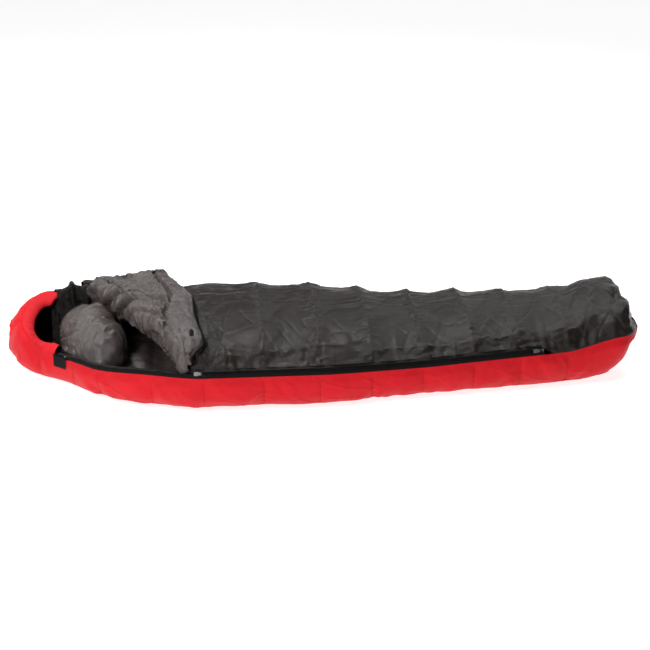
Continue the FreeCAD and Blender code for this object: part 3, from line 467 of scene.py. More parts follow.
def rib(name, dark, light, rough, pitch, metallic=0.0, bump=0.4):
    """Tape, plastic or metal with a fine regular surface."""
    n = Nodes(name)
    worn = n.noise(160.0, 4.0)
    height = n.math("ADD", n.math("MULTIPLY", n.threads(pitch), 0.6), n.math("MULTIPLY", worn, 0.4))
    n.set(Base_Color=n.ramp(worn, 0.3, 0.75, dark, light), Roughness=n.spread(worn, rough - 0.08, rough + 0.12),
          Normal=n.bump(height, bump, 0.0006), Metallic=metallic, Specular_IOR_Level=0.08)
    return n.material


RED = cloth("red_nylon", (0.52, 0.006, 0.012), (0.66, 0.010, 0.018), 0.50, sheen=0.03, wrinkle=0.14,
            tint=(1.0, 0.4, 0.4), specular=0.12)
CHARCOAL = cloth("charcoal_nylon", (0.010, 0.0075, 0.0065), (0.020, 0.0155, 0.0135), 0.29, wrinkle=0.22,
                 specular=0.20)
GREY = cloth("grey_taffeta", (0.046, 0.037, 0.035), (0.078, 0.064, 0.061), 0.24, crinkle=0.3, wrinkle=0.6,
             specular=0.45)
BLACK = cloth("black_lining", (0.005, 0.004, 0.004), (0.013, 0.011, 0.010), 0.30, wrinkle=0.8, specular=0.12)
TAPE = rib("black_tape", (0.003, 0.003, 0.003), (0.008, 0.0075, 0.0075), 0.6, 0.0009)
HOOK = rib("hook_and_loop", (0.004, 0.004, 0.004), (0.011, 0.011, 0.011), 0.85, 0.0016, bump=1.0)
COIL = rib("coil_nylon", (0.010, 0.010, 0.010), (0.022, 0.021, 0.021), 0.32, 0.0005)
METAL = rib("bare_metal", (0.34, 0.335, 0.325), (0.52, 0.51, 0.50), 0.32, 0.0007, metallic=1.0, bump=0.12)
PLASTIC = rib("lock_plastic", (0.008, 0.008, 0.008), (0.016, 0.016, 0.016), 0.3, 0.0012, bump=0.2)
SPRING = rib("spring_steel", (0.35, 0.34, 0.33), (0.6, 0.59, 0.57), 0.3, 0.0005, metallic=1.0, bump=0.1)
RED_THREAD = rib("red_thread", (0.30, 0.006, 0.010), (0.45, 0.010, 0.015), 0.6, 0.0006)
DARK_THREAD = rib("dark_thread", (0.012, 0.011, 0.010), (0.030, 0.027, 0.025), 0.6, 0.0006)


def finish_piece(obj, slot, *replaced, body="bag"):
    """Rides a piece on its body and hides the nodes it stands for. The slot is not used."""
    if body:
        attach(obj, body)
    if replaced:
        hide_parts(*replaced)
    return obj


# ---------------------------------------------------------------------------------------------
# Red shell: bottom panel, hood and foot box
# ---------------------------------------------------------------------------------------------


def rounded_ends(rows, tips):
    """Closes a stack of rows at its ends: each extra row is drawn in to its row's chord and pushed outward."""
    for end, bulge, count in tips:
        edge = rows[end]
        chord = edge[0] + (edge[-1] - edge[0]) * np.linspace(0, 1, len(edge))[:, None]
        extra = []
        for k in range(1, count + 1):
            turn = math.pi / 2 * k / count
            row = chord + (edge - chord) * (math.cos(turn) ** 0.8 if k < count else 0)
            row[:, 0] = edge[:, 0].mean() + bulge * math.sin(turn)
            extra.append(row)
        extra = np.array(extra)
        rows = np.concatenate([extra[::-1], rows]) if end == 0 else np.concatenate([rows, extra])
    return rows


def red_row(place):
    """The red shell's path at a place: down the near side, along the floor and up the far side."""
    row = outlines(place, place)[0]
    if place < NAPE:
        near, far = rim_steps(row)
    else:
        near = rises_to(row, at(place, ZIPLINE))
        far = falls_to(row, at(place, SEAM))
    return np.concatenate([
        along(row, near, 0, 64),
        np.linspace(row[0], row[-1], 34)[1:-1],
        along(row, STEPS[-1], far, 64),
    ])


hood_places = np.concatenate([np.linspace(TIP, -1.03, 12), np.linspace(-1.028, -0.838, 62)])
body_places = np.linspace(-0.832, SOLE, 480)
red_places = np.concatenate([hood_places, body_places])
red_base = np.array([red_row(x) for x in red_places])
red_base = rounded_ends(red_base, [(0, -0.003, 5), (-1, 0.004, 6)])


def red_detail(grid):
    """How far the red shell stands out from its outline: chambers between the seams, puckers and soft folds."""
    out = normals(grid)
    u = grid[..., 0]
    v = np.stack([lengths(row) for row in grid])
    total = v[:, -1:]
    edge = np.minimum(v, total - v)
    lines = np.concatenate([[-1.07, -0.956], SEAMS, [1.075]])
    side = smooth_step(edge / 0.03) * smooth_step((grid[..., 2] - 0.004) / 0.03)
    tab = 1 - smooth_step((0.05 - np.abs(u + 0.884)) / 0.02) * (grid[..., 1] < 0)
    side = side * tab
    puff = (0.004 + 0.004 * smooth_step(grid[..., 2] / 0.09)) * chambers(u, lines) ** 0.6 * side
    near_seam = np.exp(-from_lines(u, lines) / 0.022)
    pucker = 0.0016 * near_seam * noise(u / 0.09, v / 0.011, 1) * side
    slack = (0.0030 * folds(u, v, 62, 0.16, 0.034, 2) + 0.0022 * folds(u, v, 128, 0.11, 0.026, 3)) * side
    sharp = 0.0022 * creases(u, v, 20, 0.12, 0.05, 4) * side
    hem = 0.0012 * noise(u / 0.012, v / 0.05, 6) * np.exp(-edge / 0.012) * smooth_step(edge / 0.003)
    moved = grid + out * (puff + pucker + slack + sharp + hem)[..., None]
    moved[..., 2] = np.maximum(moved[..., 2], 0.0004)
    return moved


red_grid = red_detail(red_base)
finish_piece(skin("red_skin", red_grid, RED), "red_shell", "bottom_outer_shell",
             "bottom_fill_chambers", "hood_outer_shell", "hood_fill", "foot_box_lower_shell",
             "foot_box_fill")

# ---------------------------------------------------------------------------------------------
# Charcoal shell: top panel and upper foot box
# ---------------------------------------------------------------------------------------------


def top_lines():
    """Lines across the top panel from the fold to the foot end, near place and far place."""
    straight = [(x, x) for x in [*SEAMS[SEAMS > -0.3], SOLE]]
    keys = np.array([(FOLD_NEAR, FOLD_FAR), (MID_NEAR, MID_FAR)] + straight)
    travelled = np.concatenate([[0], np.cumsum(np.abs(np.diff(keys.mean(axis=1))))])
    wanted = np.linspace(0, travelled[-1], TOP_ROWS)
    return np.interp(wanted, travelled, keys[:, 0]), np.interp(wanted, travelled, keys[:, 1])


def top_row(near_x, far_x, depth=0.0, count=TOP_COLUMNS):
    """The top panel's path from its zip edge over the crown to the far seam."""
    row, rim = outlines(near_x, far_x)[0], outlines(near_x, far_x, depth)[0]
    near = rises_to(row, at(near_x, ZIPLINE) + zip_gap(near_x))
    far = falls_to(row, at(far_x, SEAM))
    return along(rim, near, far, count)


near_places, far_places = top_lines()
top_base = np.array([top_row(a, b) for a, b in zip(near_places, far_places)])
top_base = rounded_ends(top_base, [(-1, 0.004, 6)])


def line_share(grid_rows, values):
    """A value for each row, carried on for the rows that close an end."""
    return np.concatenate([values, np.full(grid_rows - len(values), values[-1])])


def top_detail(grid):
    out = normals(grid)
    v = np.stack([lengths(row) for row in grid])
    total = v[:, -1:]
    edge = np.minimum(v, total - v)
    keys = np.concatenate([[FOLD_NEAR, MID_NEAR], SEAMS[SEAMS > -0.3], [1.075]])
    near = line_share(len(grid), near_places)[:, None] + 0 * v
    u = grid[..., 0]
    side = smooth_step(edge / 0.035)
    puff = 0.009 * chambers(near, keys) ** 0.6 * side
    gap = from_lines(near, keys)
    far_third = smooth_step((v / total - 0.42) / 0.2)
    fan = 0.0050 * noise(u / 0.017, v / 0.3, 11) * np.exp(-v / 0.07) * smooth_step(v / 0.01)
    ripple = 0.0024 * folds(u, v, 4, 0.12, 0.012, 12) * far_third
    cross = 0.0028 * folds(u, v, 12, 0.05, 0.011, 13) * np.exp(-gap / 0.03)
    diagonal = 0.0032 * creases(u, v, 72, 0.20, 0.06, 18) + 0.0024 * creases(u, v, 118, 0.18, 0.05, 19)
    broad = 0.0040 * folds(u, v, 80, 0.3, 0.07, 14) + 0.0030 * folds(u, v, 55, 0.2, 0.05, 15)
    foot = smooth_step((u - 0.78) / 0.1)
    big = 0.010 * foot * folds(u, v, 40, 0.22, 0.07, 16) + 0.004 * foot * creases(u, v, 120, 0.2, 0.08, 17)
    return grid + out * (puff + fan + ripple + cross + (broad + big + diagonal) * side)[..., None]


coarse = top_base[:TOP_ROWS:4, ::4]
held = np.zeros(coarse.shape[:2], bool)
held[:1], held[-1:], held[:, :1], held[:, -1:] = True, True, True, True
for place in np.concatenate([[MID_NEAR], SEAMS[SEAMS > -0.3]]):
    held[int(np.argmin(np.abs(near_places[::4] - place)))] = True
moved = finer(drape("top_drape", coarse, held, 3.0, 0.015, 0.003), (TOP_ROWS, top_base.shape[1]))
top_base[:TOP_ROWS] += moved
top_grid = top_detail(top_base)
finish_piece(skin("top_skin", top_grid, CHARCOAL), "charcoal_shell", "top_outer_shell",
             "top_fill_chambers", "foot_box_upper_shell")

# ---------------------------------------------------------------------------------------------
# Liners
# ---------------------------------------------------------------------------------------------


def liner_row(place, depth=BOTTOM_FILL):
    """The bottom liner's path, inside the filling."""
    row = outlines(place, place, depth)[0]
    near = rises_to(row, at(place, ZIPLINE))
    far = falls_to(row, at(place, SEAM))
    return np.concatenate([
        along(row, near, 0, 40),
        np.linspace(row[0], row[-1], 70)[1:-1],
        along(row, STEPS[-1], far, 40),
    ])


def liner_detail(grid):
    out = -normals(grid)
    u = grid[..., 0]
    v = np.stack([lengths(row) for row in grid])
    edge = np.minimum(v, v[:, -1:] - v)
    side = smooth_step(edge / 0.03)
    puff = 0.012 * chambers(u, SEAMS) ** 0.6 * side
    slack = 0.005 * folds(u, v, 70, 0.12, 0.04, 21) + 0.0035 * folds(u, v, 30, 0.1, 0.022, 22)
    ridge_at = -0.700 + 0.058 * np.clip((grid[..., 1] + 0.13) / 0.2, 0, 1.4)
    ridge = 0.030 * np.exp(-((u - ridge_at) / 0.016) ** 2) * smooth_step((0.14 - grid[..., 1]) / 0.1)
    ridge += 0.052 * smooth_step((-0.53 - u) / 0.08) * smooth_step((u + 0.74) / 0.06) * np.exp(
        -((grid[..., 1] + 0.02) / 0.13) ** 2)
    return grid + out * (puff + (slack + ridge) * side)[..., None]


liner_places = np.linspace(NAPE, ANKLE, 330)
liner_grid = liner_detail(np.array([liner_row(x) for x in liner_places]))
finish_piece(skin("bottom_liner_skin", liner_grid, GREY), "grey_liner", "bottom_liner")


def top_liner_grid():
    rows = [top_row(a, b, TOP_FILL, 160) for a, b in zip(near_places[::2], far_places[::2]) if a < ANKLE]
    grid = np.array(rows)
    v = np.stack([lengths(row) for row in grid])
    edge = smooth_step(np.minimum(v, v[:, -1:] - v) / 0.04)
    swell = 0.006 * folds(grid[..., 0], v, 70, 0.15, 0.05, 25) - 0.004
    return grid - normals(grid) * (swell * edge)[..., None]


finish_piece(skin("top_liner_skin", top_liner_grid(), GREY), "grey_liner", "top_liner",
             "top_fold_facing")


def foot_liner_grid():
    rows = [outlines(x, x, 0.036)[0][::2] for x in np.linspace(ANKLE, 1.03, 40)]
    return rounded_ends(np.array(rows), [(-1, 0.006, 5)])


finish_piece(skin("foot_liner_skin", foot_liner_grid(), GREY), "grey_liner", "foot_box_liner")

# ---------------------------------------------------------------------------------------------
# Hood: lining and rim
# ---------------------------------------------------------------------------------------------


def lining_row(place):
    row = outlines(place, place, HOOD_FILL)[0]
    near, far = rim_steps(row)
    return np.concatenate([
        along(row, near, 0, 60),
        np.linspace(row[0], row[-1], 40)[1:-1],
        along(row, STEPS[-1], far, 60),
    ])


def lining_detail(grid):
    out = -normals(grid)
    u = grid[..., 0]
    v = np.stack([lengths(row) for row in grid])
    edge = np.minimum(v, v[:, -1:] - v)
    side = smooth_step(edge / 0.02)
    tall = 0.016 * folds(u, v, 88, 0.18, 0.032, 31) + 0.009 * creases(u, v, 75, 0.12, 0.05, 32)
    small = 0.004 * folds(u, v, 50, 0.06, 0.018, 33)
    return grid + out * ((tall + small + 0.006) * side)[..., None]


lining_places = np.linspace(-1.03, -0.79, 90)
lining_grid = lining_detail(rounded_ends(np.array([lining_row(x) for x in lining_places]), [(0, -0.008, 5)]))
finish_piece(skin("hood_lining_skin", lining_grid, BLACK), "black_lining", "hood_lining")


def rim_edge(depth, count=150):
    """The rim's line at a depth, from the near side round the tip to the far side."""
    near, far = [], []
    for place in np.linspace(-0.838, -1.055, 110):
        row = outlines(place, place, depth)[0]
        start, end = rim_steps(row)
        if end <= start:
            break
        near.append([np.interp(start, STEPS, row[:, k]) for k in range(3)])
        far.append([np.interp(end, STEPS, row[:, k]) for k in range(3)])
    return spaced(np.array(near + far[::-1]), count)


def rim_roll():
    """The stuffed rim: a rounded strip from the shell's edge over to the lining's edge."""
    outer, inner = rim_edge(0.0), rim_edge(0.052)
    rows = []
    for t in np.linspace(0, math.pi, 17):
        share = (1 - math.cos(t)) / 2
        lift = 0.015 * math.sin(t) ** 0.8
        rows.append(outer * (1 - share) + inner * share + [0, 0, lift])
    grid = np.array(rows).transpose(1, 0, 2)
    v = lengths(outer)[:, None] + 0 * grid[..., 0]
    past_tip = (np.arange(len(grid)) > np.argmin(outer[:, 0]))[:, None]
    far = smooth_step((grid[:, :1, 0] + 0.985) / 0.09) * past_tip
    grid = grid[:, :1] + (grid - grid[:, :1]) * (1 - 0.72 * far)[..., None]
    w = np.linspace(0, 1, 17)[None]
    gather = 0.0016 * noise(v / 0.009, w * 2, 41) * np.sin(np.pi * w) ** 0.5
    return grid + normals(grid) * gather[..., None] * np.array([-1.0])


rim_grid = rim_roll()
rim_x = rim_grid[:, 0, 0]
tip_row = int(np.argmin(rim_x))
red_rows = [k for k, x in enumerate(rim_x) if x < (-0.90 if k < tip_row else -0.896)]
finish_piece(skin("hood_rim_roll", rim_grid[red_rows], RED), "red_shell", "hood_rim_channel")


def far_lining_grid():
    """The loose lining beyond the red rim: it stands up in tall folds and falls back into the hood."""
    keys = np.array([-0.93, -0.90, -0.878, -0.86, -0.84, -0.825, -0.80])
    tops = np.array([196, 222, 250, 260, 256, 259, 252]) / 1000
    rows = []
    for place in np.linspace(-0.93, -0.80, 120):
        row = outlines(place, place, 0.001)[0]
        low, high = (np.array([np.interp(falls_to(row, z), STEPS, row[:, k]) for k in range(3)])
                     for z in (0.19, 0.225))
        top = float(through(keys, tops, place))
        corners = np.array([low, high, [place, high[1] - 0.002, top - 0.008], [place, high[1] - 0.014, top],
                            [place, high[1] - 0.030, top - 0.012], [place, high[1] - 0.048, 0.17],
                            [place, high[1] - 0.075, 0.10], [place, high[1] - 0.09, 0.05]])
        rows.append(finer(corners, (70,)))
    grid = np.array(rows)
    out = normals(grid)
    u = grid[..., 0]
    v = np.stack([lengths(row) for row in grid])
    side = smooth_step(v / 0.02)
    lump = 0.010 * folds(u, v, 86, 0.14, 0.020, 45) + 0.004 * folds(u, v, 70, 0.06, 0.010, 46)
    return grid + out * (lump * side)[..., None]


finish_piece(skin("hood_far_lining", far_lining_grid(), BLACK), "black_lining")

# ---------------------------------------------------------------------------------------------
# Zip
# ---------------------------------------------------------------------------------------------

TILT = math.radians(28)
ZIP_UP = np.array([0, math.sin(TILT), math.cos(TILT)])
ZIP_OUT = np.array([0, -math.cos(TILT), math.sin(TILT)])
RUNS = ((-0.446, -0.02), (0.3, 0.712))


def zip_edges(place):
    """The red panel's zip edge and the charcoal panel's at a place."""
    row = outlines(place, place)[0]
    steps = [rises_to(row, at(place, ZIPLINE) + h) for h in (0, ZIP_GAP)]
    return [np.array([np.interp(s, STEPS, row[:, k]) for k in range(3)]) for s in steps]


def zip_middle(place):
    """The middle of the chain, straight along each slider's run."""
    for start, end in RUNS:
        if start <= place <= end:
            first, last = (sum(zip_edges(x)) / 2 for x in (start, end))
            return first + (last - first) * (place - start) / (end - start)
    return sum(zip_edges(place)) / 2


def tape_grid(places, side):
    """One half tape from the slit to under its panel's edge."""
    rows = []
    for place in places:
        middle, edge = zip_middle(place), zip_edges(place)[0 if side < 0 else 1]
        reach, out = (edge - middle) @ ZIP_UP, (edge - middle) @ ZIP_OUT
        flat = 0.0075 * side
        corners = [(0.0007 * side, -0.0012), (0.0007 * side, 0.0), (flat * 0.5, 0.0002), (flat, 0.0),
                   ((flat + reach) / 2, out / 2), (reach + 0.001 * side, out - 0.0004)]
        rows.append([middle + ZIP_UP * up + ZIP_OUT * off for up, off in corners])
    return np.array(rows)


LOWER_TAPE = np.linspace(-0.905, 0.715, 500)
UPPER_TAPE = np.linspace(-0.446, 0.715, 370)
finish_piece(skin("zip_lower_tape_skin", tape_grid(LOWER_TAPE, -1), TAPE), "black_tape", "zip_lower_tape")
finish_piece(skin("zip_upper_tape_skin", tape_grid(UPPER_TAPE, 1), TAPE), "black_tape", "zip_upper_tape",
             "zip_draft_tube")


def coil(name, middles, up, out, side, pitch=0.0026, radius=0.00055):
    """One half of a coil zip: a row of bent nylon loops along the slit."""
    travelled = lengths(middles)
    starts = np.arange(0.002, travelled[-1] - 0.002, pitch) + (pitch / 2 if side > 0 else 0)
    path = np.array([(0.0, -0.0004, 0.0016), (0.0, 0.0008, 0.0024), (0.0, 0.0024, 0.0022), (0.0003, 0.0034, 0.0013),
                     (0.0009, 0.0024, 0.0005), (0.0013, 0.0006, 0.0006)])
    centres = np.stack([np.interp(starts, travelled, middles[:, k]) for k in range(3)], -1)
    run = np.gradient(middles, axis=0)
    run /= np.linalg.norm(run, axis=1, keepdims=True)
    runs = np.stack([np.interp(starts, travelled, run[:, k]) for k in range(3)], -1)
    ups, outs = (np.stack([np.interp(starts, travelled, way[:, k]) for k in range(3)], -1) for way in (up, out))
    loops = (centres[:, None] + runs[:, None] * path[None, :, :1] + ups[:, None] * (path[None, :, 1:2] * side)
             + outs[:, None] * path[None, :, 2:])
    vertices, faces = [], []
    for k, loop in enumerate(loops):
        vertices.append(ring_points(loop, 5) * radius + loop[:, None])
        faces.append(grid_faces(len(loop), 5, around=True) + k * len(loop) * 5)
    return made(name, np.concatenate([v.reshape(-1, 3) for v in vertices]), np.concatenate(faces), COIL)


def chain(places):
    """The chain's middle line with its up and out directions."""
    middles = np.array([zip_middle(x) for x in places])
    return middles, np.tile(ZIP_UP, (len(places), 1)), np.tile(ZIP_OUT, (len(places), 1))


finish_piece(coil("zip_lower_teeth", *chain(LOWER_TAPE), -1), "coil", "zip_lower_coil")
finish_piece(coil("zip_upper_teeth", *chain(UPPER_TAPE[:-2]), 1), "coil", "zip_upper_coil")


def facing_grid():
    """The black facing over the bottom panel's open edge, from the red shell's edge to the liner."""
    rows = []
    for place in np.linspace(-0.91, -0.36, 190):
        outer = zip_edges(place)[0]
        inner = liner_row(place)[0]
        t = np.linspace(0, 1, 12)[:, None]
        lift = 0.010 * np.sin(np.pi * t) ** 0.7
        rows.append(outer * (1 - t) + inner * t + [0, 0, 1] * lift + [0, 0.002, 0])
    grid = np.array(rows)
    v = grid[..., 0]
    return grid + np.array([0, 0, 1.0]) * (0.0012 * noise(v / 0.02, v * 0 + 3, 44))[..., None]


finish_piece(skin("zip_facing", facing_grid(), BLACK), "black_lining")

# ---------------------------------------------------------------------------------------------
# Lower draft collar
# ---------------------------------------------------------------------------------------------

COLLAR = np.array([
    (-196, -742, 40, 92, 150),
    (-144, -755, 82, 62, 188),
    (-30, -777, 106, 48, 222),
    (88, -792, 96, 50, 224),
    (176, -806, 46, 86, 188),
]) / 1000


def collar_grid():
    """The stuffed roll as a closed grid: rings across it, drawn in to a point at both ends."""
    rows = []
    turn = np.linspace(0, 2 * np.pi, 161)
    for t in np.linspace(0, 1, 130):
        y = -0.206 + (0.19 + 0.206) * t
        middle, reach, low, top = (through(COLLAR[:, 0], COLLAR[:, k], y) for k in range(1, 5))
        draw = max(1 - abs(2 * t - 1) ** 5, 0) ** 0.5
        height = (top - low) / 2 * draw
        c, s = np.cos(turn), np.sin(turn)
        rows.append(np.stack([middle + reach * draw * np.sign(c) * np.abs(c) ** 0.9, np.full_like(turn, y),
                              (low + top) / 2 + height * np.sign(s) * np.abs(s) ** 0.9], -1))
    return np.array(rows)


def collar_detail(grid):
    out = normals(grid)
    middle = grid.mean(axis=1, keepdims=True)
    out *= np.sign(np.sum(out * (grid - middle), axis=-1, keepdims=True) + 1e-9)
    u, y, z = grid[..., 0], grid[..., 1], grid[..., 2]
    head = smooth_step((-0.80 - u) / 0.06)
    angle = np.arctan2(z - 0.126, y)
    gather = 0.006 * noise(angle / 0.16, u / 0.2, 51) * head
    soft = 0.006 * folds(u, y, 65, 0.14, 0.05, 52) + 0.003 * folds(u + z, y, 40, 0.07, 0.018, 53)
    fine = 0.0050 * creases(u + z, y, 62, 0.08, 0.022, 54) + 0.002 * folds(u + z, y, 48, 0.06, 0.009, 55)
    return grid + out * (gather + soft + fine)[..., None]


collar_plain = collar_grid()
coarse = collar_plain[::2, ::2]
held = (coarse[..., 2] < 0.09) | (np.abs(coarse[..., 1]) > 0.195)
held[:, :1], held[:, -1:] = True, True
moved = drape("collar_drape", coarse, held, 3.0, 0.06, 0.006)
collar_plain = collar_plain + finer(moved, collar_plain.shape[:2])
collar_skin = finish_piece(skin("collar_roll", collar_detail(collar_plain), GREY), "grey_liner",
                           "lower_draft_collar")

# ---------------------------------------------------------------------------------------------
# Folded-back flap
# ---------------------------------------------------------------------------------------------

FLAP_LOW, FLAP_FAR = -0.356, 0.232
FLAP_FOOT = np.array([0.867, 0.499, 0.0])
FLAP_UNDER = 0.0095
COLUMNS = 300
TAPE_TRIM = 7


def flap_base(shares):
    """Points of the top panel under the flap, share of its reach by place along the fold."""
    rows = []
    for share in shares:
        row = outlines(FOLD_NEAR + 0.052 * share, FOLD_FAR + 0.268 * share)[0]
        rows.append(along(row, reaches(row, FLAP_LOW), reaches(row, FLAP_FAR), COLUMNS))
    base = np.array(rows)
    belly = 0.034 * np.exp(-((base[..., 1] - 0.03) / 0.14) ** 2) * np.asarray(shares)[:, None] ** 2
    base[..., 0] += belly
    taper = 0.1 + 0.9 * smooth_step((base[:1, :, 1] - FLAP_LOW - 0.002) / 0.06)
    first = outline_at_fold()
    return first + (base - first) * taper[..., None]


def outline_at_fold():
    """Points of the outline along the fold."""
    row = outlines(FOLD_NEAR, FOLD_FAR)[0]
    return along(row, reaches(row, FLAP_LOW), reaches(row, FLAP_FAR), COLUMNS)


def flap_ends(y):
    """How full the flap is along the fold: nothing at its two ends."""
    return np.clip((y - FLAP_LOW) / 0.014, 0, 1) ** 0.5 * np.clip((FLAP_FAR - y) / 0.03, 0, 1) ** 0.5


def flap_thickness(y, share):
    full = 0.020 + 0.021 * np.sin(np.pi / 2 * np.clip((y - FLAP_LOW) / 0.14, 0, 1))
    return (full + 0.020 * smooth_step((y - 0.05) / 0.15) * smooth_step((share - 0.35) / 0.3)) * flap_ends(y)


def flap_surface():
    """The flap's upper side, from under the fold's front, up and over to the free edge, before its details."""
    shares = np.linspace(0, 1, 120)
    base = flap_base(shares)
    up = normals(base)
    up *= np.sign(up[..., 2:])
    y = base[0, :, 1]
    ends = flap_ends(y)
    keys, tops = [0, 0.15, 0.4, 0.7, 0.9, 1.0], [0.96, 1.04, 1.0, 0.98, 0.86, 0.42]
    lift = through(np.array(keys), np.array(tops), shares)[:, None] * flap_thickness(base[..., 1], shares[:, None])
    upper = base + up * (FLAP_UNDER + lift)[..., None]
    top = upper[0] - base[0]
    hang = np.clip(1 - ((y + 0.04) / 0.42) ** 2, 0, 1) ** 0.5
    knots = np.array([(0.006, -0.024, 0), (-0.008, -0.034, -0.012), (-0.024, -0.026, -0.018),
                      (-0.034, -0.006, -0.008), (-0.031, 0.016, 0), (-0.018, 0.034, 0), (0.0, 0.0, 0)])
    rows = []
    for t in np.linspace(0, 1, 56)[:-1]:
        forward, rise, drop = (spline(knots[:, k], t) for k in range(3))
        rise = rise + drop * hang
        share = smooth_step((t - 0.62) / 0.38)
        height = rise[:, None] * np.array([[0, 0, 1.0]]) * (1 - share) + top * share
        size = 0.25 + 0.75 * ends
        rows.append(base[0] + height * size[:, None] + FLAP_FOOT * (forward * (1 - share) * size)[:, None])
    return np.concatenate([np.array(rows), upper]), base, up


def spline(values, t):
    """A point on a smooth curve through evenly spaced values."""
    place = t * (len(values) - 1)
    i = min(int(place), len(values) - 2)
    f = place - i
    p = [values[min(max(i + k, 0), len(values) - 1)] for k in (-1, 0, 1, 2)]
    return p[1] + 0.5 * f * (p[2] - p[0] + f * (2 * p[0] - 5 * p[1] + 4 * p[2] - p[3]
                                                + f * (3 * (p[1] - p[2]) + p[3] - p[0])))


def flap_details(grid):
    """Creases, ruffles along the gathered seam, and the smooth band beyond it."""
    out = normals(grid)
    out *= np.sign(np.sum(out * np.array([-0.6, -0.4, 0.7]), axis=-1, keepdims=True))
    y = grid[-1:, :, 1] + 0 * grid[..., 1]
    s = np.stack([lengths(column) for column in grid.transpose(1, 0, 2)], axis=1)
    total = s[-1:]
    band = 0.074 + 0.040 * smooth_step((0.0 - y) / 0.22) + 0.06 * smooth_step((-0.2 - y) / 0.1)
    gather = np.maximum(total - band, 0.004)
    p = s / gather
    past = s - gather
    puffy = smooth_step(-past / 0.02)
    along_fold = np.stack([lengths(row) for row in grid])
    c = y + 0.19 * np.clip(p, 0, 1) + 0.02 * noise(p * 1.5, y / 0.12, 60)
    height = 0 * s
    for line, depth, wide in ((-0.28, 0.007, 0.014), (-0.13, 0.009, 0.015), (-0.02, 0.007, 0.012),
                              (0.058, 0.022, 0.014), (0.138, 0.022, 0.014), (0.235, 0.009, 0.014)):
        height -= depth * np.exp(-((c - line) / wide) ** 2) * smooth_step(p / 0.25)
        height += 0.30 * depth * np.exp(-((c - line - 1.9 * wide) / wide) ** 2)
    height *= puffy
    height -= 0.016 * np.exp(-(past / 0.006) ** 2) * (1 + 0.3 * noise(y / 0.03, s * 0, 59))
    ruffle = noise(along_fold / 0.0075, s / 0.05, 61)
    height += 0.0075 * ruffle * np.exp(-np.abs(past) / 0.012)
    height += 0.0085 * folds(along_fold, s, 66, 0.10, 0.015, 62) * np.exp(past / 0.05) * puffy
    height += 0.0034 * creases(along_fold, s, 74, 0.09, 0.028, 64) * np.exp(past / 0.07) * puffy
    height += 0.0042 * folds(along_fold, s, 78, 0.07, 0.012, 63) * smooth_step(past / 0.01) * np.exp(-past / 0.035)
    height += 0.0030 * creases(along_fold, s, 115, 0.09, 0.04, 69) * smooth_step(past / 0.02)
    height += 0.0030 * folds(along_fold, s, 20, 0.12, 0.03, 65) * puffy
    height += 0.0036 * folds(along_fold, s, 52, 0.06, 0.011, 70) * puffy
    height += 0.0030 * creases(along_fold, s, 38, 0.07, 0.024, 71) * puffy
    near_end = smooth_step((-0.23 - y) / 0.08)
    height += 0.0045 * folds(along_fold, s, 60, 0.10, 0.016, 67) * near_end
    height += 0.0030 * noise(along_fold / 0.06, s / 0.06, 68)
    return grid + out * (height * flap_ends(y))[..., None]


flap_plain, flap_under_base, flap_up = flap_surface()
held = np.zeros(flap_plain[::3, ::3].shape[:2], bool)
held[:3], held[-2:], held[:, :2], held[:, -2:] = True, True, True, True
moved = drape("flap_drape", flap_plain[::3, ::3], held, 3.0, 0.05, 0.007)
flap_plain = flap_plain + finer(moved, flap_plain.shape[:2])
flap_upper = flap_details(flap_plain)
flap_edge = flap_under_base[-1] + flap_up[-1] * FLAP_UNDER
turned = (flap_upper[-1] + flap_edge) / 2 + FLAP_FOOT * 0.004
flap_skin = skin("flap_liner_skin", np.concatenate([flap_upper, turned[None], flap_edge[None]]), GREY)


def bends(obj, *replaced, slot="grey_liner"):
    """A flap piece that leaves the bag at the fold: bakes its transform and hides the nodes it stands for, without
    riding on any body.
    """
    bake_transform(obj)
    return finish_piece(obj, slot, *replaced, body=None)


bends(flap_skin, "flap_liner", "flap_fill_chambers", "flap_fold_facing", "flap_draft_tube", "flap_gathered_channel")
flap_shell_grid = flap_under_base + flap_up * (FLAP_UNDER - 0.0004)
bends(skin("flap_shell_skin", flap_shell_grid, CHARCOAL), "flap_outer_shell", slot="charcoal_shell")


def edge_tape_grid():
    """The black zip tape beyond the flap's free edge."""
    base = flap_edge[None, :-TAPE_TRIM] + [0, 0, 0.0008]
    t = np.linspace(0, 1, 6)[:, None, None]
    return base + FLAP_FOOT * 0.012 * t


tape_rows = edge_tape_grid()
finish_piece(skin("flap_tape_skin", tape_rows, TAPE), "black_tape", "flap_zip_tape", body="flap")
coil_columns = COLUMNS - TAPE_TRIM
flap_coil = coil("flap_teeth", tape_rows[-1], np.tile(-FLAP_FOOT, (coil_columns, 1)),
                 np.tile([0, 0, 1.0], (coil_columns, 1)), 1)
finish_piece(flap_coil, "coil", "flap_zip_coil", body="flap")


def far_wing_grid():
    """The charcoal ridge of cloth that stands at the far end of the fold."""
    u = np.linspace(0, 1, 90)[:, None]
    turn = np.linspace(-np.pi / 2 - 0.5, 3 * np.pi / 2 + 0.5, 44)[None]
    x = -0.822 + 0.215 * u
    fade = np.clip(u / 0.008, 0, 1) ** 0.5 * np.clip((1 - u) / 0.25, 0, 1) ** 0.5
    top = 0.259 + 0.004 * np.sin(u * 2.2) + 0.002 * np.sin(u * 21)
    low = 0.205
    c, s = np.cos(turn), np.sin(turn)
    y = 0.240 + 0.010 * u + 0.013 * c * fade + 0.003 * noise(u * 9, turn * 0.6, 47)
    z = low + (top - low) * fade * (0.5 + 0.5 * s)
    return np.stack([x + 0 * y, y, z], -1)


finish_piece(skin("far_fold_wing", far_wing_grid(), CHARCOAL), "charcoal_shell")
border = np.array([(-0.823, 0.236, z) for z in np.linspace(0.19, 0.257, 20)])
finish_piece(tube("far_fold_binding", border, 0.0035, TAPE), "black_tape")

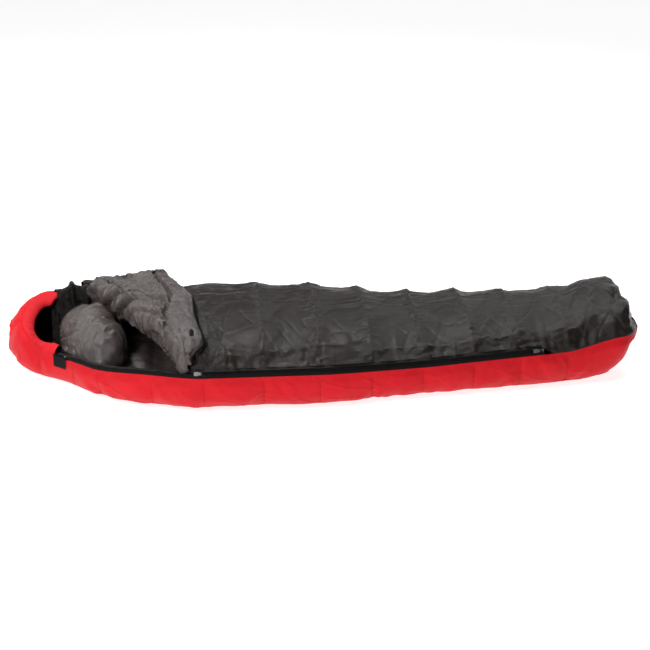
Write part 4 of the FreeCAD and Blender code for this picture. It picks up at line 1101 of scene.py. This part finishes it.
# ---------------------------------------------------------------------------------------------
# Tab and carried-over hardware
# ---------------------------------------------------------------------------------------------

NODE_LOOKS = {
    "zip_tab_strap": TAPE, "tab_loop_patch": HOOK, "tab_hook_patch": HOOK, "hood_lock_anchor": TAPE,
    "zip_head_stop": METAL, "zip_foot_stop": METAL,
}
WORD_LOOKS = {
    "slider": METAL, "link": METAL, "puller": PLASTIC, "barrel": PLASTIC, "button": PLASTIC, "spring": SPRING,
}
for name, node in NODES.items():
    looks = [NODE_LOOKS[name]] if name in NODE_LOOKS else []
    for material in looks + [material for word, material in WORD_LOOKS.items() if word in name]:
        node.data.materials.clear()
        node.data.materials.append(material)

# ---------------------------------------------------------------------------------------------
# Seams
# ---------------------------------------------------------------------------------------------


def row_near(places, place):
    """The row whose place is nearest."""
    return int(np.argmin(np.abs(places - place)))


red_rows_x = np.concatenate([np.full(5, TIP), red_places, np.full(6, SOLE)])
red_out = normals(red_grid)
seam_paths = []
for place in np.concatenate([[-0.956], SEAMS]):
    k = row_near(red_rows_x, place)
    for part in (slice(2, 62), slice(-62, -2)):
        seam_paths.append((red_grid[k, part] + red_out[k, part] * 0.0002, red_out[k, part]))
finish_piece(stitches("red_seam_stitches", seam_paths, RED_THREAD), None)

top_out = normals(top_grid)
top_paths = []
for place in np.concatenate([[MID_NEAR], SEAMS[SEAMS > -0.3]]):
    k = row_near(near_places, place)
    top_paths.append((top_grid[k, 3:-3], top_out[k, 3:-3]))
finish_piece(stitches("top_seam_stitches", top_paths, DARK_THREAD), None)

# ---------------------------------------------------------------------------------------------
# Studio
# ---------------------------------------------------------------------------------------------


def studio():
    """A white floor, an even world and three area lights."""
    reach, level = 9, -0.0006
    corners = [(x * reach, y * reach, level) for x, y in ((-1, -1), (1, -1), (1, 1), (-1, 1))]
    floor = made("floor", corners, [(0, 1, 2, 3)], None)
    n = Nodes("studio_floor")
    n.set(Base_Color=n.ramp(n.noise(3.0), 0.2, 0.8, (0.50, 0.50, 0.50), (0.53, 0.53, 0.53)), Roughness=0.9,
          Emission_Color=(1, 1, 1, 1), Emission_Strength=0.84, Specular_IOR_Level=0.1)
    floor.data.materials.append(n.material)
    world = bpy.data.worlds.new("studio")
    SCENE.world = world
    world.use_nodes = True
    world.node_tree.nodes["Background"].inputs["Color"].default_value = (1, 1, 1, 1)
    world.node_tree.nodes["Background"].inputs["Strength"].default_value = 0.16
    for name, place, size, power in (
        ("key", (-2.2, -3.0, 2.6), 1.0, 128),
        ("top", (-1.6, 1.2, 2.9), 0.7, 100),
        ("rim", (1.6, 2.4, 2.6), 1.2, 60),
    ):
        light = bpy.data.lights.new(name, "AREA")
        light.size, light.energy = size, power
        obj = bpy.data.objects.new(name, light)
        obj.location = place
        obj.rotation_euler = (-Vector(place)).to_track_quat("-Z", "Y").to_euler()
        SCENE.collection.objects.link(obj)


def camera():
    """The photo's view."""
    data = bpy.data.cameras.new("camera")
    data.lens, data.sensor_width = 97.2, 36.0
    obj = bpy.data.objects.new("camera", data)
    azimuth, elevation, distance = math.radians(-4), math.radians(22), 6.0
    aim = Vector((0.011, 0, 0.165))
    back = Vector((math.sin(azimuth) * math.cos(elevation), -math.cos(azimuth) * math.cos(elevation),
                   math.sin(elevation)))
    obj.location = aim + back * distance
    obj.rotation_euler = back.to_track_quat("Z", "Y").to_euler()
    data.clip_end = 100
    SCENE.collection.objects.link(obj)
    SCENE.camera = obj


studio()
camera()
SCENE.view_settings.view_transform = "Standard"
